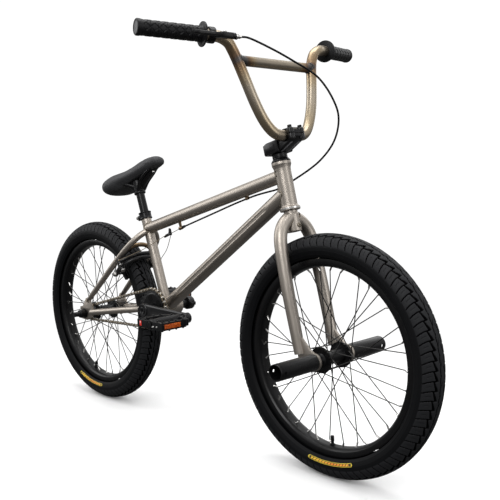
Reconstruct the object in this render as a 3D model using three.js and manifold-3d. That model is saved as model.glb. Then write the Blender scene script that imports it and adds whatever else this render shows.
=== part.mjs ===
// A 20 inch freestyle BMX bike as an assembly of named parts, in millimetres.
// +X points forward, +Y to the rider's left, +Z up. The origin is on the ground, midway
// between the axles. The drive side (chain, sprocket) is the right side, at -Y.
import * as THREE from "three";
import { mergeVertices } from "three/addons/utils/BufferGeometryUtils.js";
import Module from "manifold-3d";

const wasm = await Module();
wasm.setup();

// ---------------------------------------------------------------- driving dimensions
const GAP = 0.3; // clearance between neighbouring pieces
const WHEELBASE = 834;
const TYRE_R = 255;
const TYRE_HALF_W = 30.3;
const RIM_R = 205;
const RIM_INNER_R = 187.7;
const RIM_HALF_W = 18.5;
const HEAD_ANGLE = THREE.MathUtils.degToRad(75.8);
const SEAT_ANGLE = THREE.MathUtils.degToRad(71.5);
const FORK_OFFSET = 31.6; // from the steering axis to the front axle
const BB_RISE = 45.6; // bottom bracket above the axles
const PITCH = 12.7;
const SPROCKET_TEETH = 25;
const COG_TEETH = 9;
const CHAIN_LINKS = 65;
const CHAIN_Y = -45;
const CRANK = 160;
const PEDAL_Y = 136; // middle of a pedal's platform
const BAR_R = 11.1;
const PEG_LENGTH = 111;
const SPOKES_PER_SIDE = 18;

// ---------------------------------------------------------------- materials
function material(colour, roughness, metalness) {
  return new THREE.MeshStandardMaterial({ color: colour, roughness, metalness });
}
const RAW_STEEL = material(0x9b9286, 0.35, 0.9);
const BLACK_METAL = material(0x17181a, 0.45, 0.6);
const BLACK_PLASTIC = material(0x16171a, 0.6, 0);
const RUBBER = material(0x1c1d20, 0.85, 0);
const SILVER = material(0xc4c6c8, 0.3, 1);
const CHAIN_METAL = material(0xb7a98a, 0.35, 1);

// ---------------------------------------------------------------- solids
const V = (x, y, z) => new THREE.Vector3(x, y, z);

function solidOf(geometry) {
  const bare = new THREE.BufferGeometry();
  bare.setAttribute("position", geometry.getAttribute("position").clone());
  if (geometry.index) bare.setIndex(geometry.index.clone());
  const merged = mergeVertices(bare, 1e-4);
  const corners = merged.index.array;
  const kept = [];
  for (let i = 0; i < corners.length; i += 3) {
    const [a, b, c] = corners.slice(i, i + 3);
    if (a !== b && b !== c && c !== a) kept.push(a, b, c);
  }
  return new wasm.Manifold(
    new wasm.Mesh({
      numProp: 3,
      vertProperties: new Float32Array(merged.attributes.position.array),
      triVerts: new Uint32Array(kept),
    }),
  );
}

function geometryOf(solid) {
  const made = solid.getMesh();
  const positions = new Float32Array(made.numVert * 3);
  for (let i = 0; i < made.numVert; i++) {
    positions.set(made.vertProperties.subarray(i * made.numProp, i * made.numProp + 3), i * 3);
  }
  const geometry = new THREE.BufferGeometry();
  geometry.setAttribute("position", new THREE.BufferAttribute(positions, 3));
  geometry.setIndex(new THREE.BufferAttribute(new Uint32Array(made.triVerts), 1));
  return geometry;
}

const join = (first, ...others) => others.reduce((sum, next) => sum.add(next), first);
const cut = (first, ...others) => others.reduce((sum, next) => sum.subtract(next), first);

const bike = new THREE.Group();

function part(name, solid, look) {
  const mesh = new THREE.Mesh(geometryOf(solid), look);
  mesh.name = name;
  bike.add(mesh);
}

// A solid moved so that its own +Y runs from one point towards another.
function aim(geometry, from, to) {
  const direction = to.clone().sub(from).normalize();
  const turn = new THREE.Quaternion().setFromUnitVectors(V(0, 1, 0), direction);
  const matrix = new THREE.Matrix4().compose(from, turn, V(1, 1, 1));
  return solidOf(geometry.applyMatrix4(matrix));
}

// A turned piece: profile points are [radius, distance along the axis], closed on themselves.
function turned(profile, from, towards, sides = 16) {
  const closed = [...profile, profile[0]].map(([r, h]) => new THREE.Vector2(r, h));
  return aim(new THREE.LatheGeometry(closed, sides), from, towards);
}

function rod(from, to, radius, sides = 16) {
  const length = from.distanceTo(to);
  const geometry = new THREE.CylinderGeometry(radius, radius, length, sides);
  geometry.translate(0, length / 2, 0);
  return aim(geometry, from, to);
}

// The space a round piece of that radius needs, with its clearance.
const room = (from, to, radius) => rod(from, to, (radius + GAP) / Math.cos(Math.PI / 16));

function pipe(from, to, outer, inner, sides = 16) {
  const length = from.distanceTo(to);
  const profile = [
    [inner, 0],
    [outer, 0],
    [outer, length],
    [inner, length],
  ];
  return turned(profile, from, to, sides);
}

// A wheel-axis piece (turned about Y): profile points are [radius, y].
function wheelTurned(profile, centre, sides) {
  const closed = [...profile, profile[0]].map(([r, y]) => new THREE.Vector2(r, y));
  if (THREE.ShapeUtils.area(closed) < 0) closed.reverse();
  return solidOf(new THREE.LatheGeometry(closed, sides).translate(centre.x, centre.y, centre.z));
}

// Rings of points joined into one closed skin with flat ends.
function loft(rings) {
  const count = rings[0].length;
  const points = rings.flat();
  const faces = [];
  for (let i = 0; i + 1 < rings.length; i++) {
    for (let j = 0; j < count; j++) {
      const a = i * count + j;
      const b = i * count + ((j + 1) % count);
      faces.push(a, b, b + count, a, b + count, a + count);
    }
  }
  const last = (rings.length - 1) * count;
  for (let j = 1; j + 1 < count; j++) {
    faces.push(0, j + 1, j, last, last + j, last + j + 1);
  }
  const geometry = new THREE.BufferGeometry().setFromPoints(points);
  geometry.setIndex(faces);
  const made = solidOf(geometry);
  if (made.volume() > 0) return made;
  for (let i = 0; i < faces.length; i += 3) [faces[i + 1], faces[i + 2]] = [faces[i + 2], faces[i + 1]];
  geometry.setIndex(faces);
  return solidOf(geometry);
}

// A round tube along a smooth curve through points, its radius running from r0 to r1.
// The rings keep one fixed sideways direction, which no part of the curve may follow.
function bentTube(points, r0, r1 = r0, { steps = 12, sides = 12, squash = 1, side = V(0, 1, 0) } = {}) {
  const curve = new THREE.CatmullRomCurve3(points, false, "centripetal");
  const rings = [];
  for (let i = 0; i <= steps; i++) {
    const t = i / steps;
    const centre = curve.getPointAt(t);
    const along = curve.getTangentAt(t);
    const across = side.clone().cross(along).normalize();
    const up = along.clone().cross(across).normalize();
    const r = r0 + (r1 - r0) * t;
    const ring = [];
    for (let j = 0; j < sides; j++) {
      const a = (2 * Math.PI * j) / sides;
      const offset = across.clone().multiplyScalar(r * Math.cos(a));
      ring.push(centre.clone().add(offset).addScaledVector(up, squash * r * Math.sin(a)));
    }
    rings.push(ring);
  }
  return loft(rings);
}

// An outline in the XZ plane, extruded from y0 to y1. Holes are THREE.Path objects.
function plateXZ(outline, y0, y1, holes = []) {
  const isShape = outline instanceof THREE.Shape;
  const shape = isShape ? outline : new THREE.Shape(outline.map(([x, z]) => new THREE.Vector2(x, z)));
  shape.holes.push(...holes);
  const geometry = new THREE.ExtrudeGeometry(shape, { depth: y1 - y0, bevelEnabled: false, curveSegments: 5 });
  geometry.rotateX(Math.PI / 2); // depth now runs along -Y
  geometry.translate(0, y1, 0);
  return solidOf(geometry);
}

// Ten flats, none of them nearer the middle than the radius.
function roundHole(x, z, radius) {
  const hole = new THREE.Path();
  hole.absarc(x, z, radius / Math.cos(Math.PI / 10), 0, 2 * Math.PI, true);
  return hole;
}

const box = (sx, sy, sz, x, y, z) => solidOf(new THREE.BoxGeometry(sx, sy, sz).translate(x, y, z));

// ---------------------------------------------------------------- reference points
const REAR_AXLE = V(-WHEELBASE / 2, 0, TYRE_R);
const FRONT_AXLE = V(WHEELBASE / 2, 0, TYRE_R);

const steerUp = V(-Math.cos(HEAD_ANGLE), 0, Math.sin(HEAD_ANGLE));
const steerForward = V(Math.sin(HEAD_ANGLE), 0, Math.cos(HEAD_ANGLE));
const steerFoot = V(FRONT_AXLE.x - FORK_OFFSET / Math.sin(HEAD_ANGLE), 0, TYRE_R);
// A point at a distance up the steering axis, forward of it, and to the left.
function steer(up, forward = 0, left = 0) {
  return steerFoot
    .clone()
    .addScaledVector(steerUp, up)
    .addScaledVector(steerForward, forward)
    .add(V(0, left, 0));
}

// The centre distance at which a whole number of chain pitches closes round both sprockets.
const SPROCKET_R = (PITCH * SPROCKET_TEETH) / (2 * Math.PI);
const COG_R = (PITCH * COG_TEETH) / (2 * Math.PI);
function chainLength(centres) {
  const lean = Math.asin((SPROCKET_R - COG_R) / centres);
  const run = Math.sqrt(centres ** 2 - (SPROCKET_R - COG_R) ** 2);
  return 2 * run + Math.PI * (SPROCKET_R + COG_R) + 2 * lean * (SPROCKET_R - COG_R);
}
let axleToBB = 300;
for (let i = 0; i < 20; i++) axleToBB += (CHAIN_LINKS * PITCH - chainLength(axleToBB)) / 2;
const BB = V(REAR_AXLE.x + Math.sqrt(axleToBB ** 2 - BB_RISE ** 2), 0, TYRE_R + BB_RISE);

const seatUp = V(-Math.cos(SEAT_ANGLE), 0, Math.sin(SEAT_ANGLE));
const onSeatTube = (z) => BB.clone().addScaledVector(seatUp, (z - BB.z) / Math.sin(SEAT_ANGLE));

// ---------------------------------------------------------------- frame
const HEAD_LOW = 307.4;
const HEAD_HIGH = 410;
const HEAD_R = 17.4;
const TOP_TUBE_R = 14.3;
const DOWN_TUBE_R = 17;
const SEAT_TUBE_R = 13;
const SEAT_TUBE_TOP = 537;
const BB_SHELL_R = 23;

function headTube() {
  const length = HEAD_HIGH - HEAD_LOW;
  const profile = [
    [18.2, 0],
    [21.4, 0],
    [21.4, 7],
    [HEAD_R, 9],
    [HEAD_R, length - 14],
    [20.6, length - 5],
    [20.6, length],
    [18.2, length],
    [18.2, length - 9],
    [14.8, length - 9],
    [14.8, 9],
    [18.2, 9],
  ];
  return turned(profile, steer(HEAD_LOW), steer(HEAD_HIGH));
}
const headClear = room(steer(HEAD_LOW - 20), steer(HEAD_HIGH + 20), HEAD_R);
const headRingClear = room(steer(HEAD_LOW - 1), steer(HEAD_LOW + 9.5), 21.4);
part("head_tube", headTube(), RAW_STEEL);

const topRear = V(-182, 0, 499.2);
const topFront = V(291, 0, 626.3);
const seatClear = room(onSeatTube(310), onSeatTube(560), SEAT_TUBE_R);
const bbClear = room(V(BB.x, -60, BB.z), V(BB.x, 60, BB.z), BB_SHELL_R);

// The welded stop that ends the brake cable's housing, hanging under the top tube.
const CABLE_STOP = V(-51, 0, 504.5);
function cableStop() {
  const along = V(0.95, 0, 0.31).normalize();
  const barrel = pipe(
    CABLE_STOP.clone().addScaledVector(along, -6),
    CABLE_STOP.clone().addScaledVector(along, 6),
    4.4,
    1.5,
    12,
  );
  const web = box(7, 3, 20, CABLE_STOP.x, 0, CABLE_STOP.z + 12);
  const low = CABLE_STOP.clone().addScaledVector(along, -30);
  const high = CABLE_STOP.clone().addScaledVector(along, 30);
  return join(barrel, cut(web, rod(low, high, 3, 12)));
}
part(
  "top_tube",
  join(
    cut(pipe(topRear, topFront, TOP_TUBE_R, TOP_TUBE_R - 1.4), headClear, seatClear),
    cut(cableStop(), rod(topRear, topFront, TOP_TUBE_R - 0.7)),
  ),
  RAW_STEEL,
);

const downFront = V(303, 0, 591.2);
const downTube = cut(
  pipe(BB, downFront, DOWN_TUBE_R, DOWN_TUBE_R - 1.3),
  headClear,
  headRingClear,
  bbClear,
  seatClear,
);
part("down_tube", downTube, RAW_STEEL);

function seatTube() {
  const top = onSeatTube(SEAT_TUBE_TOP);
  const tube = pipe(onSeatTube(BB.z + 10), top, SEAT_TUBE_R, 11.5);
  const slot = box(30, 2.4, 26, top.x - 15, 0, top.z - 6);
  return cut(tube, bbClear, slot);
}
part("seat_tube", seatTube(), RAW_STEEL);

const SHELL_HALF_W = 36;
part(
  "bottom_bracket_shell",
  wheelTurned(
    [
      [17, -24],
      [19.5, -24],
      [19.5, -SHELL_HALF_W],
      [BB_SHELL_R, -SHELL_HALF_W],
      [BB_SHELL_R, SHELL_HALF_W],
      [19.5, SHELL_HALF_W],
      [19.5, 24],
      [17, 24],
    ],
    BB,
    20,
  ),
  RAW_STEEL,
);

for (const [name, side] of [["right", -1], ["left", 1]]) {
  const ring = wheelTurned(
    [
      [9.8, -5],
      [19.2, -5],
      [19.2, 5],
      [9.8, 5],
    ],
    V(BB.x, side * 30, BB.z),
    16,
  );
  part(`bb_bearing_${name}`, ring, SILVER);
}

// Rear dropout: a plate with a slot, open to the rear, that the axle slides in.
const DROPOUT_IN = 55.3;
const DROPOUT_OUT = 61.3;
function dropout(side, clearance = 0) {
  const outline = new THREE.Shape();
  const at = (x, z) => [REAR_AXLE.x + x, REAR_AXLE.z + z];
  outline.moveTo(...at(-24, -17));
  outline.lineTo(...at(8, -19));
  outline.lineTo(...at(34, -9));
  outline.lineTo(...at(40, 16));
  outline.lineTo(...at(26, 40));
  outline.lineTo(...at(8, 44));
  outline.lineTo(...at(-10, 20));
  outline.lineTo(...at(-24, 17));
  outline.lineTo(...at(-24, 7.4));
  outline.lineTo(...at(0, 7.4));
  outline.absarc(REAR_AXLE.x, REAR_AXLE.z, 7.4, Math.PI / 2, -Math.PI / 2, true);
  outline.lineTo(...at(-24, -7.4));
  const low = DROPOUT_IN - clearance;
  const high = DROPOUT_OUT + clearance;
  return side > 0 ? plateXZ(outline, low, high) : plateXZ(outline, -high, -low);
}

function chainStay(side) {
  const points = [
    V(BB.x - 12, side * 28, 298.5),
    V(-155, side * 31, 294.6),
    V(-171, side * 33.2, 292.4),
    V(-197, side * 43, 289),
    V(-240, side * 47, 283),
    V(-302, side * 51, 273.5),
    V(-388, side * 57.5, 260),
  ];
  const tube = bentTube(points, 9, 8.6, { steps: 14, sides: 10, side: V(0, 0, 1) });
  return join(cut(tube, bbClear), dropout(side));
}
part("chain_stay_right", chainStay(-1), RAW_STEEL);
part("chain_stay_left", chainStay(1), RAW_STEEL);

const STAY_R = 8;
const stayPoints = (side) => [
  V(-178, side * 12, 492),
  V(-189, side * 27, 481),
  V(-203, side * 40, 465),
  V(-226, side * 47.5, 444),
  V(-262, side * 51, 413.5),
  V(-339, side * 54.5, 347),
  V(-402, side * 58, 292),
];

// The stud each brake arm turns on stands out of its seat stay, towards the bottom bracket.
const stayUp = V(0.76, 0, 0.65).normalize();
const studOut = V(stayUp.z, 0, -stayUp.x);
const BRAKE_PIVOT = V(-241.5, 50, 399.7);
const PAD_Y = 25.7; // middle of a brake shoe
function brakeFrame(side) {
  const origin = V(BRAKE_PIVOT.x, side * BRAKE_PIVOT.y, BRAKE_PIVOT.z);
  return new THREE.Matrix4().makeBasis(studOut, V(0, 1, 0), stayUp).setPosition(origin);
}
function brakeStud(side) {
  const boss = rod(V(-24, 0, 0), V(-8.5, 0, 0), 7, 10);
  const stud = rod(V(-12, 0, 0), V(9, 0, 0), 4, 10);
  const head = rod(V(8.5, 0, 0), V(12, 0, 0), 7, 6);
  return join(boss, stud, head).transform(brakeFrame(side).elements);
}

function seatStay(side) {
  const tube = bentTube(stayPoints(side), STAY_R, 7.4, { steps: 13, sides: 10, side: V(0.65, 0, -0.76) });
  return cut(
    join(tube, brakeStud(side)),
    seatClear,
    room(topRear, topFront, TOP_TUBE_R),
    dropout(side, GAP),
    box(60, 20, 60, -432, side * 58, 262),
  );
}
part("seat_stay_right", seatStay(-1), RAW_STEEL);
part("seat_stay_left", seatStay(1), RAW_STEEL);

// The small arched tube between the seat stays, behind the seat tube and over the tyre.
function stayBridge() {
  const points = [V(-233, -43, 441), V(-229.5, -21, 451.5), V(-228.5, 0, 454.5), V(-229.5, 21, 451.5), V(-233, 43, 441)];
  const tube = bentTube(points, 6, 6, { steps: 8, sides: 10, side: V(0.65, 0, -0.76) });
  const clear = (side) =>
    bentTube(stayPoints(side), STAY_R + GAP, 7.4 + GAP, { steps: 13, sides: 10, side: V(0.65, 0, -0.76) });
  return cut(tube, clear(-1), clear(1));
}
part("seat_stay_bridge", stayBridge(), RAW_STEEL);

// Split collar that pinches the seat tube's slotted top, with lugs and a bolt at the back.
function seatClamp() {
  const low = onSeatTube(SEAT_TUBE_TOP - 14);
  const high = onSeatTube(SEAT_TUBE_TOP + 3);
  const collar = rod(low, high, 16.6);
  const mid = low.clone().add(high).multiplyScalar(0.5);
  const lugs = box(12, 17, 13, mid.x - 19, 0, mid.z - 1);
  const bore = room(onSeatTube(500), onSeatTube(SEAT_TUBE_TOP + GAP), SEAT_TUBE_R);
  const postHole = rod(onSeatTube(500), onSeatTube(560), 11.5);
  const slit = box(26, 2.4, 30, mid.x - 20, 0, mid.z);
  const bolt = rod(V(mid.x - 20, -13, mid.z - 1), V(mid.x - 20, 13, mid.z - 1), 3, 12);
  return join(cut(join(collar, lugs), bore, postHole, slit), bolt);
}
part("seat_clamp", seatClamp(), BLACK_METAL);

function headsetBearing(low) {
  const profile = [
    [13, 0],
    [17.9, 0],
    [17.9, 7.4],
    [13, 7.4],
  ];
  return turned(profile, steer(low), steer(low + 10));
}
part("headset_bearing_lower", headsetBearing(HEAD_LOW + 1), SILVER);
part("headset_bearing_upper", headsetBearing(HEAD_HIGH - 8.5), SILVER);

// ---------------------------------------------------------------- seat
const POST_R = 11.1;
const SEAT_SOCKET = 588;
const POST_TOP = 624;
part("seat_post", rod(onSeatTube(400), onSeatTube(POST_TOP), POST_R), BLACK_METAL);

// Saddle sections from nose to tail: [x, top z, bottom z, half width].
const SADDLE = [
  [-117, 670, 660, 8],
  [-122, 679, 655, 18],
  [-138, 683.5, 650, 24],
  [-165, 677, 643, 27],
  [-195, 667, 632, 31],
  [-225, 655, 611, 42],
  [-250, 646, 592, 54],
  [-275, 639.5, 579, 61],
  [-300, 635, 576, 61],
  [-318, 630, 581, 53],
  [-330, 622, 592, 38],
];
function seatPad() {
  const rings = SADDLE.map(([x, top, bottom, half]) => {
    const ring = [];
    for (let j = 0; j < 16; j++) {
      const a = (2 * Math.PI * j) / 16;
      const y = half * Math.sign(Math.cos(a)) * Math.abs(Math.cos(a)) ** 0.7;
      const z = (top + bottom) / 2 + ((top - bottom) / 2) * Math.sin(a);
      ring.push(V(x, y, z));
    }
    return ring;
  });
  return cut(loft(rings), rod(onSeatTube(560), onSeatTube(POST_TOP + 4), 17, 20));
}
const padSolid = seatPad();
part("seat_pad", padSolid, RUBBER);

// Plastic seat base: a socket on the post with three legs up to the pad's underside.
function seatBase() {
  const socketLow = onSeatTube(SEAT_SOCKET);
  const socketHigh = onSeatTube(POST_TOP + 3);
  const socket = rod(socketLow, socketHigh, 15, 16);
  const noseLeg = bentTube(
    [V(-214, 0, 602), V(-198, 0, 617), V(-172, 0, 636), V(-140, 0, 655)],
    9,
    5,
    { steps: 5, sides: 6 },
  );
  const rearLeg = (side) =>
    bentTube([V(-222, side * 6, 606), V(-240, side * 18, 612), V(-262, side * 32, 618)], 8, 5, {
      steps: 2,
      sides: 6,
      side: V(0, 0, 1),
    });
  const padClear = padSolid.translate([0, 0, -GAP]).add(padSolid);
  const post = room(onSeatTube(560), onSeatTube(POST_TOP + GAP), POST_R);
  return cut(join(socket, noseLeg, rearLeg(-1), rearLeg(1)), padClear, post);
}
part("seat_base", seatBase(), BLACK_PLASTIC);

// ---------------------------------------------------------------- fork and steering column
const LEG_Y = 54.5;
const STEM_LOW = 428.3;
const STEERER_R = 12.7;

function steerer() {
  const profile = [
    [10.2, 0],
    [16, 0],
    [16, 36],
    [14.4, 40],
    [14.4, 44.6],
    [STEERER_R, 45.4],
    [STEERER_R, 190],
    [10.2, 190],
  ];
  const tube = turned(profile, steer(262), steer(452));
  return cut(tube, rod(steer(273, 5), steer(273, 30), 3, 12));
}
part("steerer", steerer(), RAW_STEEL);

// A tapered blade that bends out from the crown, with a plate for the axle at its foot.
function forkLeg(side) {
  const path = [
    [291, 11],
    [282, 25.5],
    [270, 37.5],
    [254, 45.5],
    [230, 50],
    [190, 52.7],
    [150, LEG_Y],
    [12, LEG_Y],
  ];
  const points = path.map(([up, y]) => steer(up, 0, side * y));
  const blade = bentTube(points, 14, 12.6, { steps: 14, sides: 12, side: steerForward });
  const outline = new THREE.Shape();
  const at = (forward, up) => {
    const p = steer(up, forward);
    return [p.x, p.z];
  };
  outline.moveTo(...at(-6, 4));
  outline.lineTo(...at(14, -22));
  outline.lineTo(...at(32, -27));
  outline.lineTo(...at(46, -21));
  outline.lineTo(...at(50.5, -8));
  outline.lineTo(...at(46, 6));
  outline.lineTo(...at(30, 16));
  outline.lineTo(...at(10, 48));
  outline.lineTo(...at(-6, 52));
  const hole = roundHole(FRONT_AXLE.x, FRONT_AXLE.z, 5 + GAP);
  const [low, high] = [50.3, 56.5];
  const plate = side > 0 ? plateXZ(outline, low, high, [hole]) : plateXZ(outline, -high, -low, [hole]);
  const column = room(steer(255), steer(306), 16);
  return cut(join(blade, plate), column);
}
part("fork_leg_right", forkLeg(-1), RAW_STEEL);
part("fork_leg_left", forkLeg(1), RAW_STEEL);

// Dust cap over the upper bearing and the spacer under the stem, as one turned piece.
part(
  "headset_cap",
  turned(
    [
      [13.1, 0],
      [20.4, 0],
      [20.4, 3],
      [16.4, 8],
      [16, 9],
      [16, STEM_LOW - HEAD_HIGH - 2 * GAP],
      [13.1, STEM_LOW - HEAD_HIGH - 2 * GAP],
    ],
    steer(HEAD_HIGH + GAP),
    steer(STEM_LOW),
  ),
  BLACK_METAL,
);

// ---------------------------------------------------------------- stem
const BAR_UP = 455.5;
const BAR_FORWARD = 38.8;
const barClear = room(steer(BAR_UP, BAR_FORWARD, -40), steer(BAR_UP, BAR_FORWARD, 40), BAR_R);
function stemBlock(profile, half) {
  const outline = profile.map(([forward, up]) => {
    const p = steer(up, forward);
    return [p.x, p.z];
  });
  return cut(plateXZ(outline, -half, half), barClear);
}
function stemBody() {
  const block = stemBlock(
    [
      [-22, STEM_LOW + 2],
      [-20, STEM_LOW],
      [16, STEM_LOW],
      [50, STEM_LOW + 12],
      [59, STEM_LOW + 21],
      [59, BAR_UP - 0.5],
      [-10, BAR_UP - 0.5],
      [-22, BAR_UP - 4],
    ],
    23,
  );
  const bore = room(steer(STEM_LOW - 5), steer(STEM_LOW + 40), STEERER_R);
  const grooves = [-9, 9].map((y) => {
    const slot = new THREE.BoxGeometry(40, 5, 8);
    slot.rotateY(-0.62);
    const p = steer(STEM_LOW + 5.5, 37, y);
    return solidOf(slot.translate(p.x + 3, p.y, p.z - 4));
  });
  return cut(block, bore, ...grooves);
}
part("stem", stemBody(), BLACK_METAL);

function stemClamp() {
  const plate = stemBlock(
    [
      [18, BAR_UP + 0.5],
      [59, BAR_UP + 0.5],
      [59, BAR_UP + 8],
      [52, BAR_UP + 14],
      [26, BAR_UP + 14],
      [18, BAR_UP + 8],
    ],
    23,
  );
  const bolts = [];
  for (const forward of [-15, 15]) {
    for (const left of [-15, 15]) {
      const at = BAR_FORWARD + forward;
      bolts.push(rod(steer(BAR_UP + 8, at, left), steer(BAR_UP + 17, at, left), 4.4, 10));
    }
  }
  return join(plate, ...bolts);
}
part("stem_clamp", stemClamp(), BLACK_METAL);

// ---------------------------------------------------------------- handlebar
// Centreline of the left half, from the clamp out to the bar's end.
const BAR_HALF = [
  [310.3, 18, 706.1],
  [310.3, 30, 706.2],
  [309.3, 43, 709.2],
  [306.2, 56.5, 719],
  [301.5, 69.5, 736],
  [294, 85, 768],
  [283, 99.5, 812],
  [272.5, 111, 850],
  [268, 118, 868],
  [265.5, 128, 883],
  [262.5, 146, 892],
];
const GRIP_INNER = V(252.2, 181, 895.5);
const GRIP_OUTER = V(213.5, 308, 901.6);
const barCentre = steer(BAR_UP, BAR_FORWARD);
function barTube(radius, sides, reach = 1) {
  const leftHalf = [
    ...BAR_HALF.map(([x, y, z]) => V(x, y, z)),
    ...[-0.1, 0.05, 0.35, 0.7, reach].map((t) => GRIP_INNER.clone().lerp(GRIP_OUTER, t)),
  ];
  const rightHalf = leftHalf.map((p) => V(p.x, -p.y, p.z)).reverse();
  const points = [...rightHalf, barCentre, ...leftHalf];
  return bentTube(points, radius, radius, { steps: 36, sides, side: steerForward });
}
part("handlebar", cut(barTube(BAR_R, 10), barTube(BAR_R - 2, 6, 1.04)), RAW_STEEL);

const CROSSBAR_X = 272;
const CROSSBAR_Z = 851;
part(
  "crossbar",
  cut(pipe(V(CROSSBAR_X, -111, CROSSBAR_Z), V(CROSSBAR_X, 111, CROSSBAR_Z), 10, 8.6, 20), barTube(BAR_R + GAP, 12)),
  RAW_STEEL,
);

function grip(side) {
  const inner = V(GRIP_INNER.x, side * GRIP_INNER.y, GRIP_INNER.z);
  const outer = V(GRIP_OUTER.x, side * GRIP_OUTER.y, GRIP_OUTER.z);
  const length = inner.distanceTo(outer);
  const profile = [
    [BAR_R + GAP, 0],
    [23.5, 0],
    [23.5, 3.6],
    [14.9, 6],
    [14.7, length - 2],
    [15.5, length],
    [15.5, length + 4],
    [0.001, length + 5],
    [0.001, length + 1],
    [BAR_R + GAP, length + 1],
  ];
  const open = profile.map(([r, h]) => new THREE.Vector2(r < 0.01 ? 0 : r, h));
  const closed = [...open.slice(8), ...open.slice(0, 8)];
  return aim(new THREE.LatheGeometry(closed, 14), inner, outer);
}
part("grip_right", grip(-1), RUBBER);
part("grip_left", grip(1), RUBBER);

// ---------------------------------------------------------------- brake lever
// Local frame on the right grip line: X forward of the bar, Y inboard along it, Z up.
const inboard = V(GRIP_INNER.x, -GRIP_INNER.y, GRIP_INNER.z)
  .sub(V(GRIP_OUTER.x, -GRIP_OUTER.y, GRIP_OUTER.z))
  .normalize();
const leverForward = V(1, 0, -0.14).addScaledVector(inboard, -V(1, 0, -0.14).dot(inboard)).normalize();
const leverUp = leverForward.clone().cross(inboard);
const leverOrigin = V(GRIP_INNER.x, -GRIP_INNER.y, GRIP_INNER.z).addScaledVector(inboard, 15);
const leverFrame = new THREE.Matrix4().makeBasis(leverForward, inboard, leverUp).setPosition(leverOrigin);
const inLeverFrame = (solid) => solid.transform(leverFrame.elements);
const LEVER_PIVOT = [36, 14];

function leverBracket() {
  const ring = pipe(V(0, -6, 0), V(0, 7, 0), 15.4, BAR_R + 1, 14);
  const lug = box(9, 10, 10, -17, 0.5, -3);
  const arm = box(30, 24, 11, 27, 17, 0);
  const web = box(16, 13, 9, 18, 0.5, 0);
  const barrel = rod(V(34, 24, 0), V(34, 42, 0), 5.6, 14);
  const adjuster = rod(V(34, 42, 0), V(34, 49, 0), 3.6, 12);
  const slot = box(22, 26, 6.6, 37, 11, 0);
  const bore = rod(V(0, -20, 0), V(0, 40, 0), BAR_R + 1, 14);
  const shape = cut(join(ring, lug, arm, web), bore, slot);
  const pin = rod(V(...LEVER_PIVOT, -5.5), V(...LEVER_PIVOT, 5.5), 2.4, 10);
  return inLeverFrame(join(shape, barrel, adjuster, pin));
}
part("lever_bracket", leverBracket(), BLACK_METAL);

function brakeLever() {
  const outline = new THREE.Shape();
  outline.moveTo(31, 20);
  outline.lineTo(41, 20);
  outline.lineTo(42.5, 10);
  outline.lineTo(40, -16);
  outline.lineTo(40.5, -40);
  outline.lineTo(45, -56);
  outline.lineTo(41.5, -58);
  outline.lineTo(35, -42);
  outline.lineTo(34, -16);
  outline.lineTo(31, 6);
  const root = new THREE.ExtrudeGeometry(outline, { depth: 5.8, bevelEnabled: false });
  const blade = box(5.4, 40, 9.6, 37.6, -32, 0);
  const hole = rod(V(...LEVER_PIVOT, -6), V(...LEVER_PIVOT, 6), 2.7, 10);
  const reach = cut(solidOf(root.translate(0, 0, -2.9)), hole);
  return inLeverFrame(join(reach, blade));
}
part("brake_lever", brakeLever(), BLACK_METAL);

// ---------------------------------------------------------------- brake cable
const CABLE_R = 2.4;
const cableStart = V(34, 49 + GAP, 0).applyMatrix4(leverFrame);
const FRONT_CABLE = [
  cableStart,
  cableStart.clone().addScaledVector(inboard, 14),
  V(331, -78, 868),
  V(346, -32, 847),
  V(371, 14, 816),
  V(385, 45, 773),
  V(387, 60, 739),
  V(374, 64, 695),
  V(344, 55, 655),
  V(293, 33, 617),
  V(254, 22, 597),
  V(232, 13, 591),
];
function cable(points, steps) {
  const curve = new THREE.CatmullRomCurve3(points, false, "centripetal");
  const ring = [0, 1, 2, 3, 4, 5, 6].map((i) => {
    const a = (2 * Math.PI * i) / 7;
    return new THREE.Vector2(CABLE_R * Math.cos(a), CABLE_R * Math.sin(a));
  });
  return solidOf(new THREE.ExtrudeGeometry(new THREE.Shape(ring), { extrudePath: curve, steps }));
}
part("brake_cable_front", cable(FRONT_CABLE, 32), BLACK_PLASTIC);

const REAR_CABLE = [V(231.6, 12.85, 590.9), V(206, 5, 584.5), V(150, 0.5, 568), V(60, 0, 539.5), V(-44.5, 0, 506.6)];
part("brake_cable_rear", cable(REAR_CABLE, 10), BLACK_PLASTIC);

// ---------------------------------------------------------------- wheels
const WHEEL_SIDES = 32;

function tyre(centre) {
  const sectionR = 226;
  const half = [TYRE_R - sectionR, TYRE_HALF_W];
  const wall = 4.2;
  const profile = [[206, -15]];
  const outerSteps = 8;
  const innerSteps = 2;
  const reach = THREE.MathUtils.degToRad(130);
  for (let i = 0; i <= outerSteps; i++) {
    const a = -reach + (2 * reach * i) / outerSteps;
    profile.push([sectionR + half[0] * Math.cos(a), half[1] * Math.sin(a)]);
  }
  profile.push([206, 15]);
  for (let i = 0; i <= innerSteps; i++) {
    const a = reach - (2 * reach * i) / innerSteps;
    profile.push([sectionR + (half[0] - wall) * Math.cos(a), (half[1] - wall) * Math.sin(a)]);
  }
  return wheelTurned(profile, centre, WHEEL_SIDES);
}

function rim(centre) {
  const w = RIM_HALF_W;
  const profile = [
    [RIM_R, -w],
    [192, -w],
    [RIM_INNER_R, -11],
    [RIM_INNER_R, 11],
    [192, w],
    [RIM_R, w],
    [RIM_R, w - 2.4],
    [191, 10],
    [191, -10],
    [RIM_R, 2.4 - w],
  ];
  return wheelTurned(profile, centre, WHEEL_SIDES);
}

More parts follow.
